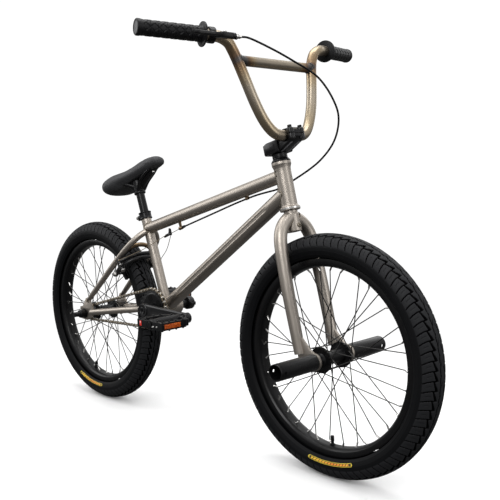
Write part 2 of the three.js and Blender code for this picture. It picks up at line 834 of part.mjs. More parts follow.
const FLANGE_R = 27.5;
const SPOKE_HOLE_R = 25;
const SPOKE_START = 0.044; // how far along a spoke it clears the flange
function hub(centre, ends, flanges, bore) {
  const [right, left] = ends;
  const [flangeRight, flangeLeft] = flanges;
  const profile = [
    [bore, right],
    [11, right],
    [14, flangeRight - 3],
    [FLANGE_R, flangeRight - 1.5],
    [FLANGE_R, flangeRight + 1.5],
    [15, flangeRight + 4],
    [15, flangeLeft - 4],
    [FLANGE_R, flangeLeft - 1.5],
    [FLANGE_R, flangeLeft + 1.5],
    [14, flangeLeft + 3],
    [11, left],
    [bore, left],
  ];
  return wheelTurned(profile, centre, 18);
}

// Half a wheel's spokes, laced three-cross. Opposed spokes touch where they cross.
function spokes(centre, flangeY, turn) {
  const made = [];
  const step = (2 * Math.PI) / SPOKES_PER_SIDE;
  for (let i = 0; i < SPOKES_PER_SIDE; i++) {
    const lean = (i % 2 ? -1 : 1) * 3 * step;
    const atHub = i * step + turn;
    const polar = (r, a, y) => V(centre.x + r * Math.cos(a), y, centre.z + r * Math.sin(a));
    const hole = polar(SPOKE_HOLE_R, atHub, flangeY);
    const nipple = polar(RIM_INNER_R - 1.4, atHub + lean, flangeY * 0.06);
    made.push(rod(hole.lerp(nipple, SPOKE_START), nipple, 1.2, 3));
  }
  return join(...made);
}

function wheel(name, centre, hubEnds, flanges, bore) {
  part(`${name}_tyre`, tyre(centre), RUBBER);
  part(`${name}_rim`, rim(centre), BLACK_METAL);
  part(`${name}_hub`, hub(centre, hubEnds, flanges, bore), BLACK_METAL);
  part(`${name}_spokes_right`, spokes(centre, flanges[0], 0), SILVER);
  part(`${name}_spokes_left`, spokes(centre, flanges[1], Math.PI / SPOKES_PER_SIDE), SILVER);
}
wheel("front", FRONT_AXLE, [-49.7, 49.7], [-32, 32], 5.3);
wheel("rear", REAR_AXLE, [-36, 54.7], [-27, 34], 7.3);

// ---------------------------------------------------------------- axles, nuts and pegs
function frontAxle() {
  const nut = (side) => rod(V(FRONT_AXLE.x, side * 62.4, TYRE_R), V(FRONT_AXLE.x, side * 71, TYRE_R), 9, 6);
  const axle = rod(V(FRONT_AXLE.x, -77, TYRE_R), V(FRONT_AXLE.x, 77, TYRE_R), 5, 16);
  return join(axle, nut(-1), nut(1));
}
part("front_axle", frontAxle(), SILVER);

function peg(side) {
  const base = 57;
  const profile = [
    [5 + GAP, base],
    [17.5, base],
    [17.5, base + PEG_LENGTH],
    [15, base + PEG_LENGTH],
    [15, base + 5],
    [5 + GAP, base + 5],
  ];
  const tube = turned(profile, FRONT_AXLE, FRONT_AXLE.clone().add(V(0, side, 0)));
  const y = side * (base + PEG_LENGTH - 16);
  const hole = rod(V(FRONT_AXLE.x - 30, y, TYRE_R), V(FRONT_AXLE.x + 30, y, TYRE_R), 3.2, 10);
  return cut(tube, hole);
}
part("peg_right", peg(-1), BLACK_METAL);
part("peg_left", peg(1), BLACK_METAL);

part("rear_axle", rod(V(REAR_AXLE.x, -96, TYRE_R), V(REAR_AXLE.x, 82, TYRE_R), 7, 16), BLACK_METAL);

function rearNut(side, length) {
  const profile = [
    [7 + GAP, 61.7],
    [14, 61.7],
    [14, 64.5],
    [11.2, 65.5],
    [11.2, 61.7 + length],
    [7 + GAP, 61.7 + length],
  ];
  return turned(profile, REAR_AXLE, REAR_AXLE.clone().add(V(0, side, 0)), 14);
}
part("rear_axle_nut_right", rearNut(-1, 19), BLACK_METAL);
part("rear_axle_nut_left", rearNut(1, 12), BLACK_METAL);

// ---------------------------------------------------------------- drivetrain
const PLATE_IN = 2;
const PLATE_OUT = 3.2;
const ROLLER_R = 3.6;

// The chain's pitch line: over the sprocket, along the lower run, round the cog and back.
const centreLine = Math.atan2(BB_RISE, BB.x - REAR_AXLE.x);
const lean = Math.asin((SPROCKET_R - COG_R) / axleToBB);
const topNormal = centreLine + lean + Math.PI / 2;
const lowNormal = centreLine - lean - Math.PI / 2;
const run = Math.sqrt(axleToBB ** 2 - (SPROCKET_R - COG_R) ** 2);
const wrapSprocket = topNormal - lowNormal;
const wrapCog = 2 * Math.PI - wrapSprocket;

// The point at a distance along the pitch line, pushed outwards by an offset.
function onChain(distance, offset = 0) {
  const around = (centre, radius, angle) => [
    centre.x + (radius + offset) * Math.cos(angle),
    centre.z + (radius + offset) * Math.sin(angle),
  ];
  let s = distance;
  if (s < wrapSprocket * SPROCKET_R) return around(BB, SPROCKET_R, topNormal - s / SPROCKET_R);
  s -= wrapSprocket * SPROCKET_R;
  if (s < run) {
    const [x, z] = around(BB, SPROCKET_R, lowNormal);
    return [x - s * Math.cos(centreLine - lean), z - s * Math.sin(centreLine - lean)];
  }
  s -= run;
  if (s < wrapCog * COG_R) return around(REAR_AXLE, COG_R, lowNormal - s / COG_R);
  s -= wrapCog * COG_R;
  const [x, z] = around(REAR_AXLE, COG_R, topNormal);
  return [x + s * Math.cos(centreLine + lean), z + s * Math.sin(centreLine + lean)];
}

function chain() {
  const length = CHAIN_LINKS * PITCH;
  const stops = [];
  const bigArc = wrapSprocket * SPROCKET_R;
  const smallArc = wrapCog * COG_R;
  for (let i = 0; i <= 13; i++) stops.push((bigArc * i) / 13 - (i === 13 ? 1e-6 : 0));
  for (let i = 0; i <= 8; i++) stops.push(bigArc + run + (smallArc * i) / 8 + (i === 8 ? -1e-6 : 1e-6));
  const outlineAt = (offset) => stops.map((s) => onChain(s, offset));
  const plates = [-1, 1].map((side) => {
    const middle = CHAIN_Y + (side * (PLATE_IN + PLATE_OUT)) / 2;
    const half = (PLATE_OUT - PLATE_IN) / 2;
    const loop = plateXZ(outlineAt(3.8), middle - half, middle + half);
    return cut(loop, plateXZ(outlineAt(-3.8), middle - 2, middle + 2));
  });
  const rollers = [];
  for (let i = 0; i < CHAIN_LINKS; i++) {
    const [x, z] = onChain((i * length) / CHAIN_LINKS + PITCH / 2);
    rollers.push(rod(V(x, CHAIN_Y - PLATE_IN - 0.6, z), V(x, CHAIN_Y + PLATE_IN + 0.6, z), ROLLER_R, 4));
  }
  return join(...plates, ...rollers);
}
part("chain", chain(), CHAIN_METAL);

// One gap between teeth, as [outwards, across] from the roller seated in it.
const TOOTH_GAP = [
  [2.8, -5.5],
  [-4.3, -3.4],
  [-4.3, 3.4],
  [2.8, 5.5],
];

// A toothed outline whose gaps hold rollers on the pitch circle, one at the angle start.
function toothed(centre, teeth, radius, start) {
  const points = [];
  const step = (2 * Math.PI) / teeth;
  for (let i = 0; i < teeth; i++) {
    const a = start + i * step;
    for (const [out, across] of TOOTH_GAP) {
      const x = centre.x + (radius + out) * Math.cos(a) - across * Math.sin(a);
      const z = centre.z + (radius + out) * Math.sin(a) + across * Math.cos(a);
      points.push(new THREE.Vector2(x, z));
    }
  }
  return new THREE.Shape(points);
}

function sprocket() {
  const start = topNormal - PITCH / 2 / SPROCKET_R;
  const outline = toothed(BB, SPROCKET_TEETH, SPROCKET_R, start);
  const holes = [roundHole(BB.x, BB.z, 9.5 + GAP)];
  for (let i = 0; i < 5; i++) {
    const a = (2 * Math.PI * (i + 0.5)) / 5;
    holes.push(roundHole(BB.x + 30 * Math.cos(a), BB.z + 30 * Math.sin(a), 9.5));
  }
  return plateXZ(outline, CHAIN_Y - 1.5, CHAIN_Y + 1.5, holes);
}
part("sprocket", sprocket(), BLACK_METAL);

function driverCog() {
  const firstOnCog = wrapSprocket * SPROCKET_R + run;
  const index = Math.ceil((firstOnCog - PITCH / 2) / PITCH);
  const start = lowNormal - (index * PITCH + PITCH / 2 - firstOnCog) / COG_R;
  const outline = toothed(REAR_AXLE, COG_TEETH, COG_R, start);
  const teeth = plateXZ(outline, CHAIN_Y - 1.5, CHAIN_Y + 1.5, [roundHole(REAR_AXLE.x, REAR_AXLE.z, 7.3)]);
  const body = wheelTurned(
    [
      [7.3, -54.7],
      [10.5, -54.7],
      [11.5, -46],
      [11.5, -37],
      [7.3, -37],
    ],
    REAR_AXLE,
    20,
  );
  return join(body, teeth);
}
part("driver_cog", driverCog(), SILVER);

// Crank spindle with the collar that spaces the sprocket from the right arm.
const ARM_IN = 64;
const ARM_OUT = 79;
function spindle() {
  const profile = [
    [3.5, -78],
    [9.5, -78],
    [9.5, -63.4],
    [14, -63.4],
    [14, CHAIN_Y - 1.8],
    [9.5, CHAIN_Y - 1.8],
    [9.5, 78],
    [3.5, 78],
  ];
  return wheelTurned(profile, BB, 20);
}
part("crank_spindle", spindle(), BLACK_METAL);

// An arm pointing along X (direction 1 forward, -1 back) with its pedal axle.
function crankArm(side, direction) {
  const eye = BB.x + direction * CRANK;
  const y0 = side > 0 ? ARM_IN : -ARM_OUT;
  const y1 = side > 0 ? ARM_OUT : -ARM_IN;
  const outline = [
    [BB.x + direction * 8, BB.z - 16],
    [BB.x + direction * 60, BB.z - 13],
    [eye - direction * 8, BB.z - 10.5],
    [eye - direction * 8, BB.z + 10.5],
    [BB.x + direction * 60, BB.z + 13],
    [BB.x + direction * 8, BB.z + 16],
  ];
  if (direction < 0) outline.reverse();
  const yMid = side * (ARM_IN - 0.3 + 8.8);
  const boss = rod(V(BB.x, side * (ARM_IN - 0.3), BB.z), V(BB.x, side * (ARM_OUT + 1.5), BB.z), 17, 18);
  const eyeBoss = rod(V(eye, side * ARM_IN, BB.z), V(eye, side * (ARM_OUT + 3), BB.z), 12.5, 14);
  const pinch = box(11, 15, 8, BB.x - direction * 16, yMid, BB.z);
  const axle = rod(V(eye, side * (ARM_OUT + 2), BB.z), V(eye, side * 172, BB.z), 6, 14);
  const bore = rod(V(BB.x, side * 40, BB.z), V(BB.x, side * 90, BB.z), 9.5 + GAP, 20);
  return cut(join(plateXZ(outline, y0, y1), boss, eyeBoss, pinch, axle), bore);
}
part("crank_arm_right", crankArm(-1, 1), BLACK_METAL);
part("crank_arm_left", crankArm(1, -1), BLACK_METAL);

// Platform pedal: a cage round a barrel that turns on the crank's pedal axle.
const PEDAL_LENGTH = 92;
const PEDAL_WIDTH = 88;
function pedal(side, direction) {
  const x = BB.x + direction * CRANK;
  const y = side * PEDAL_Y;
  const cage = cut(
    box(PEDAL_LENGTH, PEDAL_WIDTH, 20, x, y, BB.z),
    box(25, PEDAL_WIDTH - 22, 40, x + 26, y, BB.z),
    box(25, PEDAL_WIDTH - 22, 40, x - 26, y, BB.z),
    box(PEDAL_LENGTH + 2, 18, 8, x, y - 22, BB.z + 11),
    box(PEDAL_LENGTH + 2, 18, 8, x, y + 22, BB.z + 11),
    box(PEDAL_LENGTH + 2, 18, 8, x, y - 22, BB.z - 11),
    box(PEDAL_LENGTH + 2, 18, 8, x, y + 22, BB.z - 11),
  );
  const barrel = rod(V(x, y - PEDAL_WIDTH / 2, BB.z), V(x, y + PEDAL_WIDTH / 2, BB.z), 12.4, 18);
  const bore = rod(V(x, side * 80, BB.z), V(x, side * 173, BB.z), 6 + GAP, 14);
  return cut(join(cage, barrel), bore);
}
part("pedal_right", pedal(-1, 1), BLACK_PLASTIC);
part("pedal_left", pedal(1, -1), BLACK_PLASTIC);

// ---------------------------------------------------------------- rear brake
// In a brake arm's own frame X runs along its stud, Y to the left and Z up along the stay.
// Each arm crosses over the tyre, so the straddle wire on one side closes the other's pad.
function brakeArm(side) {
  const depth = -side * 6; // the two arms pass one another
  const boss = pipe(V(-8, 0, 0), V(8, 0, 0), 9, 4.6, 12);
  const legPoints = [V(0, side * 1, -6), V(0, side * 1, -20), V(0, 0, -36)];
  const leg = bentTube(legPoints, 6.5, 5.5, { steps: 2, sides: 8, side: V(1, 0, 0) });
  const swing = [
    V(0, side * 1, 5),
    V(depth * 0.8, -side * 2, 20),
    V(depth, -side * 18, 37),
    V(depth, -side * 50, 43),
    V(depth, -side * 84, 37),
    V(depth, -side * 113, 15),
  ];
  const crossing = bentTube(swing, 5.2, 4.6, { steps: 9, sides: 8, side: V(1, 0, 0) });
  const hole = rod(V(-30, 0, 0), V(30, 0, 0), 4.6, 12);
  const shoeBolt = rod(V(0, side * 4, -33), V(0, -side * 22, -33), 3.2, 8);
  const shoe = box(42, 11, 9, 0, -side * (BRAKE_PIVOT.y - PAD_Y), -33);
  const anchor = rod(V(depth - 8, -side * 113, 15), V(depth + 8, -side * 113, 15), 4, 8);
  return join(cut(join(boss, leg, crossing), hole), shoeBolt, shoe, anchor).transform(brakeFrame(side).elements);
}
part("brake_arm_right", brakeArm(-1), BLACK_METAL);
part("brake_arm_left", brakeArm(1), BLACK_METAL);

// The yoke on the end of the brake cable, with the straddle wires that lift both arms.
const CARRIER = V(-99, 0, 486.5);
function straddleCarrier() {
  const pull = CABLE_STOP.clone().sub(CARRIER).normalize();
  const end = (side) => V(side * 6, side * 15, 23.5).applyMatrix4(brakeFrame(side));
  const wire = (side) => rod(CARRIER.clone().add(V(-1, side * 7, 0)), end(side), 1, 5);
  const yoke = rod(CARRIER.clone().add(V(0, -11, 0)), CARRIER.clone().add(V(0, 11, 0)), 4, 8);
  const lead = rod(CARRIER, CABLE_STOP.clone().addScaledVector(pull, -6.4), 1, 5);
  return join(yoke, wire(-1), wire(1), lead);
}
part("straddle_carrier", straddleCarrier(), SILVER);

export default bike;
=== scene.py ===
"""A raw steel freestyle BMX bike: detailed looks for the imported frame.

Shapes are in millimetres, and piece() makes them metres. Camera, lights and floor are in metres.
"""

import math

import bmesh
import bpy
import numpy as np
from mathutils import Matrix, Vector


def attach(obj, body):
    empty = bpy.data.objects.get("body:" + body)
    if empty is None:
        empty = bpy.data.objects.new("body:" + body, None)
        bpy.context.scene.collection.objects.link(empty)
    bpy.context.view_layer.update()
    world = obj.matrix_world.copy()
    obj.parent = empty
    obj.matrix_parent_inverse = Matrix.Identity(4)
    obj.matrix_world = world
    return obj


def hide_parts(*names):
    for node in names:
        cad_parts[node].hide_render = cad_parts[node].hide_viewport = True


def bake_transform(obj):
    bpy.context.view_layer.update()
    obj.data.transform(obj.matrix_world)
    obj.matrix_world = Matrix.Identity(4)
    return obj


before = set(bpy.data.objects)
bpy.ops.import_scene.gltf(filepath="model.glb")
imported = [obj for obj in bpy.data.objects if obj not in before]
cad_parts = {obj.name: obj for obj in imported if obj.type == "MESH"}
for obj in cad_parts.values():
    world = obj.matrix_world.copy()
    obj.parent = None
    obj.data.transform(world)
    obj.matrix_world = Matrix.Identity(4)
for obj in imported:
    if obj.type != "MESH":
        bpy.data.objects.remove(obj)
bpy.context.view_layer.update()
MM = 0.001
BACKDROP = 1.05  # strength of the white behind the bike and of the far floor

# ---------------------------------------- camera, lights, floor
scene = bpy.context.scene
# fitted to the outlines of both tyres and the bars in the photograph
camera_data = bpy.data.cameras.new("camera")
camera = bpy.data.objects.new("camera", camera_data)
scene.collection.objects.link(camera)
right = Vector((0.66469, 0.74661, -0.0275))
up = Vector((-0.11174, 0.13574, 0.98442))
back = right.cross(up)
camera.matrix_world = Matrix((right, up, back)).transposed().to_4x4()
camera.location = (1.344, -1.158, 0.6285)
camera_data.sensor_width = 36
camera_data.lens = 52.668
camera_data.shift_x = 0.0898
camera_data.shift_y = 0.1106
camera_data.clip_end = 100
scene.camera = camera
scene.view_settings.view_transform = "Standard"


def area_light(name, place, target, size, energy):
    data = bpy.data.lights.new(name, "AREA")
    data.shape = "RECTANGLE"
    data.size, data.size_y = size
    data.energy = energy
    light = bpy.data.objects.new(name, data)
    scene.collection.objects.link(light)
    light.location = place
    light.rotation_euler = (Vector(target) - Vector(place)).to_track_quat("-Z", "Y").to_euler()


area_light("key", (1.2, -2.6, 2.4), (0, 0, 0.4), (1.3, 2.0), 46)
area_light("top", (-0.2, 0.2, 3.2), (0, 0, 0.3), (3.2, 1.6), 60)
area_light("side", (3.2, 0.6, 1.3), (0.2, 0, 0.5), (1.4, 2.4), 18)
area_light("rear", (-2.6, -1.4, 1.7), (0, 0, 0.4), (1.3, 2.2), 24)
area_light("far", (-0.4, 3.0, 1.8), (0, 0, 0.4), (2.4, 1.4), 14)


def studio_world():
    """White to the camera. What the bike mirrors grows darker from above to the floor."""
    world = bpy.data.worlds.new("studio")
    scene.world = world
    world.use_nodes = True
    tree = world.node_tree
    shade = tree.nodes["Background"]
    coords = tree.nodes.new("ShaderNodeTexCoord")
    parts = tree.nodes.new("ShaderNodeSeparateXYZ")
    tree.links.new(coords.outputs["Generated"], parts.inputs[0])
    lift = tree.nodes.new("ShaderNodeMapRange")
    lift.inputs["From Min"].default_value = -1
    tree.links.new(parts.outputs["Z"], lift.inputs["Value"])
    ramp = tree.nodes.new("ShaderNodeValToRGB")
    elements = ramp.color_ramp.elements
    stops = ((0.0, 0.10), (0.42, 0.16), (0.50, 0.30), (0.58, 0.50), (0.75, 0.62), (1.0, 0.95))
    while len(elements) < len(stops):
        elements.new(0.5)
    for element, (position, value) in zip(elements, stops):
        element.position = position
        element.color = (value, value, value, 1)
    tree.links.new(lift.outputs[0], ramp.inputs["Fac"])
    white = tree.nodes.new("ShaderNodeBackground")
    white.inputs["Color"].default_value = (1, 1, 1, 1)
    white.inputs["Strength"].default_value = BACKDROP
    path = tree.nodes.new("ShaderNodeLightPath")
    mix = tree.nodes.new("ShaderNodeMixShader")
    tree.links.new(ramp.outputs["Color"], shade.inputs["Color"])
    tree.links.new(path.outputs["Is Camera Ray"], mix.inputs[0])
    tree.links.new(shade.outputs[0], mix.inputs[1])
    tree.links.new(white.outputs[0], mix.inputs[2])
    tree.links.new(mix.outputs[0], tree.nodes["World Output"].inputs["Surface"])


studio_world()


# ---------------------------------------- materials
class Nodes:
    """A short way to write a material's node tree."""

    def __init__(self, name):
        self.material = bpy.data.materials.new(name)
        self.material.use_nodes = True
        self.tree = self.material.node_tree
        self.shader = self.tree.nodes["Principled BSDF"]

    def add(self, kind, **inputs):
        node = self.tree.nodes.new(kind)
        for key, value in inputs.items():
            self.put(node, key.replace("_", " "), value)
        return node

    def put(self, node, key, value):
        if isinstance(value, bpy.types.NodeSocket):
            self.tree.links.new(value, node.inputs[key])
        else:
            node.inputs[key].default_value = value

    def set(self, **inputs):
        for key, value in inputs.items():
            self.put(self.shader, key.replace("_", " "), value)
        return self

    def place(self, scale=(1, 1, 1), source="Object"):
        coords = self.tree.nodes.new("ShaderNodeTexCoord")
        return self.add("ShaderNodeMapping", Vector=coords.outputs[source], Scale=scale).outputs[0]

    def noise(self, vector, scale, detail=4.0, rough=0.55):
        node = self.add(
            "ShaderNodeTexNoise", Vector=vector, Scale=scale, Detail=detail, Roughness=rough
        )
        return node.outputs["Fac"]

    def ramp(self, factor, *stops):
        node = self.add("ShaderNodeValToRGB", Fac=factor)
        elements = node.color_ramp.elements
        while len(elements) < len(stops):
            elements.new(0.5)
        for element, (position, colour) in zip(elements, stops):
            element.position = position
            element.color = (*colour, 1)
        return node.outputs["Color"]

    def span(self, factor, low, high):
        node = self.add("ShaderNodeMapRange", Value=factor)
        node.inputs["To Min"].default_value = low
        node.inputs["To Max"].default_value = high
        return node.outputs[0]

    def mix(self, factor, a, b, mode="MIX"):
        node = self.tree.nodes.new("ShaderNodeMix")
        node.data_type = "RGBA"
        node.blend_type = mode
        self.put(node, 0, factor)
        for index, colour in ((6, a), (7, b)):
            self.put(
                node, index, colour if isinstance(colour, bpy.types.NodeSocket) else (*colour, 1)
            )
        return node.outputs[2]

    def math(self, operation, a, b=0.0):
        node = self.tree.nodes.new("ShaderNodeMath")
        node.operation = operation
        self.put(node, 0, a)
        self.put(node, 1, b)
        return node.outputs[0]

    def bump(self, *layers):
        """Each layer is (height socket, strength, distance in metres)."""
        normal = None
        for height, strength, distance in layers:
            node = self.add("ShaderNodeBump", Height=height, Strength=strength, Distance=distance)
            if normal is not None:
                self.put(node, "Normal", normal)
            normal = node.outputs[0]
        self.put(self.shader, "Normal", normal)
        return self

    def attribute(self, name):
        node = self.tree.nodes.new("ShaderNodeAttribute")
        node.attribute_name = name
        return node.outputs["Fac"]


def steel(name, base, dark, tint=0.0, roughness=(0.24, 0.42)):
    """Bare brushed steel. The point attribute warm, plus tint, brings in the colours of a weld."""
    n = Nodes(name)
    along = n.noise(n.place((0.55, 0.012, 1), "UV"), 1.0, 2.0, 0.5)
    fine = n.noise(n.place((1.3, 0.03, 1), "UV"), 1.0, 2.0, 0.5)
    patches = n.noise(n.place((1, 1, 1)), 16.0, 5.0, 0.6)
    grain = n.noise(n.place((1, 1, 1)), 320.0, 2.0, 0.5)
    colour = n.mix(n.span(along, 0.0, 1.0), dark, base)
    colour = n.mix(n.span(patches, -0.25, 0.5), colour, tuple(c * 1.12 for c in base))
    colour = n.mix(n.span(fine, -0.15, 0.35), colour, tuple(c * 0.62 for c in dark))
    heated = n.math(
        "MULTIPLY", n.math("ADD", n.attribute("warm"), tint), n.span(patches, 0.55, 1.4)
    )
    weld_colour = n.ramp(
        heated,
        (0.0, (1, 1, 1)),
        (0.20, (0.98, 0.90, 0.74)),
        (0.42, (0.72, 0.56, 0.40)),
        (0.60, (0.42, 0.31, 0.25)),
        (0.78, (0.30, 0.32, 0.38)),
        (1.0, (0.20, 0.22, 0.26)),
    )
    colour = n.mix(1.0, colour, weld_colour, "MULTIPLY")
    uneven = n.math("ADD", n.math("MULTIPLY", along, 0.8), n.math("MULTIPLY", grain, 0.2))
    n.set(Base_Color=colour, Metallic=1.0, Roughness=n.span(uneven, *roughness))
    n.bump((fine, 0.02, 0.0001), (grain, 0.02, 0.00005))
    return n.material


def painted(name, colour, worn, roughness, grain_scale=1400.0, grain=0.08, specular=0.5):
    """A coloured finish, clouded, with a fine grain and sparse scuffs in the worn colour."""
    n = Nodes(name)
    cloud = n.noise(n.place(), 22.0, 5.0, 0.62)
    speck = n.noise(n.place(), grain_scale, 2.0, 0.5)
    scuff = n.noise(n.place((1, 1, 6)), 60.0, 6.0, 0.7)
    shade = n.mix(n.span(cloud, -0.1, 0.9), colour, tuple(c * 1.7 + 0.002 for c in colour))
    marks = n.ramp(scuff, (0.0, (0, 0, 0)), (0.66, (0, 0, 0)), (0.74, (1, 1, 1)), (1.0, (1, 1, 1)))
    shade = n.mix(n.math("MULTIPLY", marks, 0.25), shade, worn)
    uneven = n.math("ADD", n.math("MULTIPLY", cloud, 0.5), n.math("MULTIPLY", speck, 0.5))
    n.set(Base_Color=shade, Roughness=n.span(uneven, roughness - 0.1, roughness + 0.12))
    n.set(Specular_IOR_Level=specular)
    n.bump((speck, grain, 0.0002), (cloud, 0.03, 0.001))
    return n.material


STEEL = steel("raw_steel", (0.49, 0.445, 0.395), (0.355, 0.318, 0.28), roughness=(0.38, 0.48))
BAR_STEEL = steel(
    "bar_steel", (0.50, 0.445, 0.37), (0.32, 0.28, 0.23), tint=0.06, roughness=(0.28, 0.4)
)
WELD = steel(
    "weld_steel", (0.33, 0.30, 0.26), (0.17, 0.155, 0.135), tint=0.08, roughness=(0.34, 0.5)
)
BRONZE = steel("bronzed_steel", (0.32, 0.245, 0.17), (0.20, 0.145, 0.10), tint=0.12)
BRIGHT = steel("bright_steel", (0.74, 0.73, 0.71), (0.54, 0.53, 0.52), roughness=(0.14, 0.28))
CHAIN = steel("chain_steel", (0.42, 0.35, 0.25), (0.24, 0.195, 0.135), roughness=(0.24, 0.4))
SPOKE = steel("spoke_steel", (0.085, 0.084, 0.082), (0.035, 0.034, 0.034), roughness=(0.28, 0.42))
BLACK = painted("black_metal", (0.0028, 0.0028, 0.0032), (0.02, 0.02, 0.02), 0.28, specular=0.26)
ANODISED = painted(
    "black_anodised", (0.0034, 0.0034, 0.0040), (0.03, 0.03, 0.03), 0.28, specular=0.32
)
CRANK_BLACK = painted(
    "crank_black", (0.0050, 0.0050, 0.0056), (0.04, 0.04, 0.04), 0.30, specular=0.45
)
MACHINED = painted("machined_grey", (0.16, 0.16, 0.17), (0.30, 0.30, 0.31), 0.4)
# painted shade: near black, without shine, for the floors of the tyre's grooves
TYRE_GROOVE_SHADE = painted(
    "tyre_groove_shade", (0.0006, 0.0006, 0.0007), (0.0012, 0.0012, 0.0013), 0.8, specular=0.0
)
PLASTIC = painted(
    "black_plastic", (0.0034, 0.0034, 0.0040), (0.012, 0.012, 0.012), 0.32, 2400.0, 0.10,
    specular=0.26,
)
GRIP = painted(
    "grip_rubber", (0.0050, 0.0050, 0.0057), (0.012, 0.012, 0.012), 0.42, 2000.0, 0.12, specular=0.2
)
CAP_GREY = painted("grip_cap", (0.045, 0.045, 0.048), (0.10, 0.10, 0.10), 0.45)
HOUSING = painted(
    "cable_housing", (0.0025, 0.0025, 0.0028), (0.008, 0.008, 0.008), 0.34, specular=0.18
)
# painted shade: near black for the insides of holes and windows
PAINTED_SHADE = painted("shadow_black", (0.002, 0.002, 0.002), (0.006, 0.006, 0.006), 0.7, specular=0.1)
RED = painted("red_mark", (0.62, 0.03, 0.02), (0.7, 0.2, 0.1), 0.4)
WHITE = painted("white_mark", (0.75, 0.74, 0.72), (0.8, 0.8, 0.8), 0.45)


def rubber_material():
    """Dusty black: warm marks the lighter tread; groove paints shade on the floor of its grooves.
    """
    n = Nodes("tyre_rubber")
    dust = n.noise(n.place(), 9.0, 6.0, 0.65)
    fine = n.noise(n.place(), 1500.0, 2.0, 0.5)
    shade = n.mix(n.span(dust, -0.2, 0.8), (0.0026, 0.0028, 0.0034), (0.0056, 0.0060, 0.0072))
    groove = n.attribute("groove")
    shade = n.mix(n.attribute("warm"), shade, (0.0170, 0.0175, 0.0192))
    # painted shade on the groove floors
    shade = n.mix(groove, shade, (0.0003, 0.0003, 0.0004))
    n.set(Base_Color=shade, Roughness=n.span(fine, 0.46, 0.62), Specular_IOR_Level=0.13)
    n.bump((fine, 0.12, 0.0002), (n.noise(n.place(), 180.0, 3.0, 0.6), 0.06, 0.0004))
    return n.material


TYRE = rubber_material()


def vinyl_material():
    """Dark grey seat cover with a pebbled grain."""
    n = Nodes("seat_vinyl")
    cells = n.add("ShaderNodeTexVoronoi", Vector=n.place(), Scale=620.0)
    cells.feature = "DISTANCE_TO_EDGE"
    pebble = n.ramp(cells.outputs["Distance"], (0.0, (0, 0, 0)), (0.18, (1, 1, 1)))
    soft = n.noise(n.place(), 30.0, 5.0, 0.6)
    shade = n.mix(n.span(soft, 0.0, 1.0), (0.023, 0.0235, 0.0255), (0.036, 0.0365, 0.039))
    n.set(
        Base_Color=shade, Roughness=n.span(soft, 0.44, 0.58), Specular_IOR_Level=0.28,
        Sheen_Weight=0.04,
    )
    n.set(Sheen_Roughness=0.5)
    n.bump((pebble, 0.16, 0.0004), (soft, 0.05, 0.002))
    return n.material


VINYL = vinyl_material()


def amber_material():
    """Orange plastic with small facets."""
    n = Nodes("amber_reflector")
    cells = n.add("ShaderNodeTexVoronoi", Vector=n.place((1, 1, 1)), Scale=380.0)
    facet = n.ramp(cells.outputs["Distance"], (0.0, (1, 1, 1)), (0.7, (0, 0, 0)))
    shade = n.mix(facet, (0.42, 0.055, 0.004), (0.95, 0.22, 0.02))
    n.set(Base_Color=shade, Roughness=0.22, Coat_Weight=0.8, Coat_Roughness=0.05)
    n.bump((facet, 0.5, 0.0006))
    return n.material


AMBER = amber_material()


def patch_material():
    """Plain slanted strokes of orange and yellow on black, inside a thin yellow outline."""
    n = Nodes("tyre_patch")
    coords = n.tree.nodes.new("ShaderNodeTexCoord")
    parts = n.add("ShaderNodeSeparateXYZ", Vector=coords.outputs["UV"])
    along, across = parts.outputs[0], parts.outputs[1]
    slant = n.math("ADD", along, n.math("MULTIPLY", across, 0.05))
    stroke = n.math("GREATER_THAN", n.math("FRACT", n.math("MULTIPLY", slant, 15.0)), 0.27)
    hue = n.ramp(
        along, (0.0, (1.0, 0.62, 0.04)), (0.35, (1.0, 0.52, 0.03)), (0.55, (1.0, 0.30, 0.02)),
        (1.0, (1.0, 0.50, 0.04)),
    )
    off_centre = n.math("ABSOLUTE", n.math("SUBTRACT", across, 0.5))
    off_middle = n.math("ABSOLUTE", n.math("SUBTRACT", along, 0.5))
    field = n.math(
        "MULTIPLY", n.math("LESS_THAN", off_centre, 0.27), n.math("LESS_THAN", off_middle, 0.43)
    )
    shade = n.mix(n.math("MULTIPLY", field, stroke), (0.012, 0.011, 0.010), hue)
    edge = n.math(
        "MAXIMUM", n.math("GREATER_THAN", off_centre, 0.40),
        n.math("GREATER_THAN", off_middle, 0.475),
    )
    shade = n.mix(edge, shade, (1.0, 0.78, 0.07))
    wear = n.noise(n.place(), 500.0, 3.0, 0.6)
    n.set(Base_Color=n.mix(n.span(wear, -0.1, 0.2), shade, (0.45, 0.25, 0.03)), Roughness=0.5)
    n.bump((wear, 0.08, 0.0002))
    return n.material


PATCH = patch_material()


# the slot in the CAD that each look belongs to; piece() looks it up unless told another, and does
# nothing more with it
SLOTS = {
    "raw_steel": (STEEL, BAR_STEEL, WELD, BRONZE),
    "bright_steel": (BRIGHT, CHAIN, SPOKE, MACHINED),
    "black_metal": (BLACK, ANODISED, CRANK_BLACK, PAINTED_SHADE),
    "black_plastic": (PLASTIC, HOUSING, AMBER, RED, WHITE),
    "grip_rubber": (GRIP, CAP_GREY),
    "tyre": (TYRE, PATCH),
}
SLOT_OF = {look.name: slot for slot, looks in SLOTS.items() for look in looks}


# ---------------------------------------- shapes: (points, faces, uv per point)
def join(*shapes):
    """Several shapes made into one."""
    points, faces, uvs, offset = [], [], [], 0
    for p, f, uv in shapes:
        points.append(p)
        uvs.append(uv)
        faces += [tuple(i + offset for i in face) for face in f]
        offset += len(p)
    return np.vstack(points), faces, np.vstack(uvs)


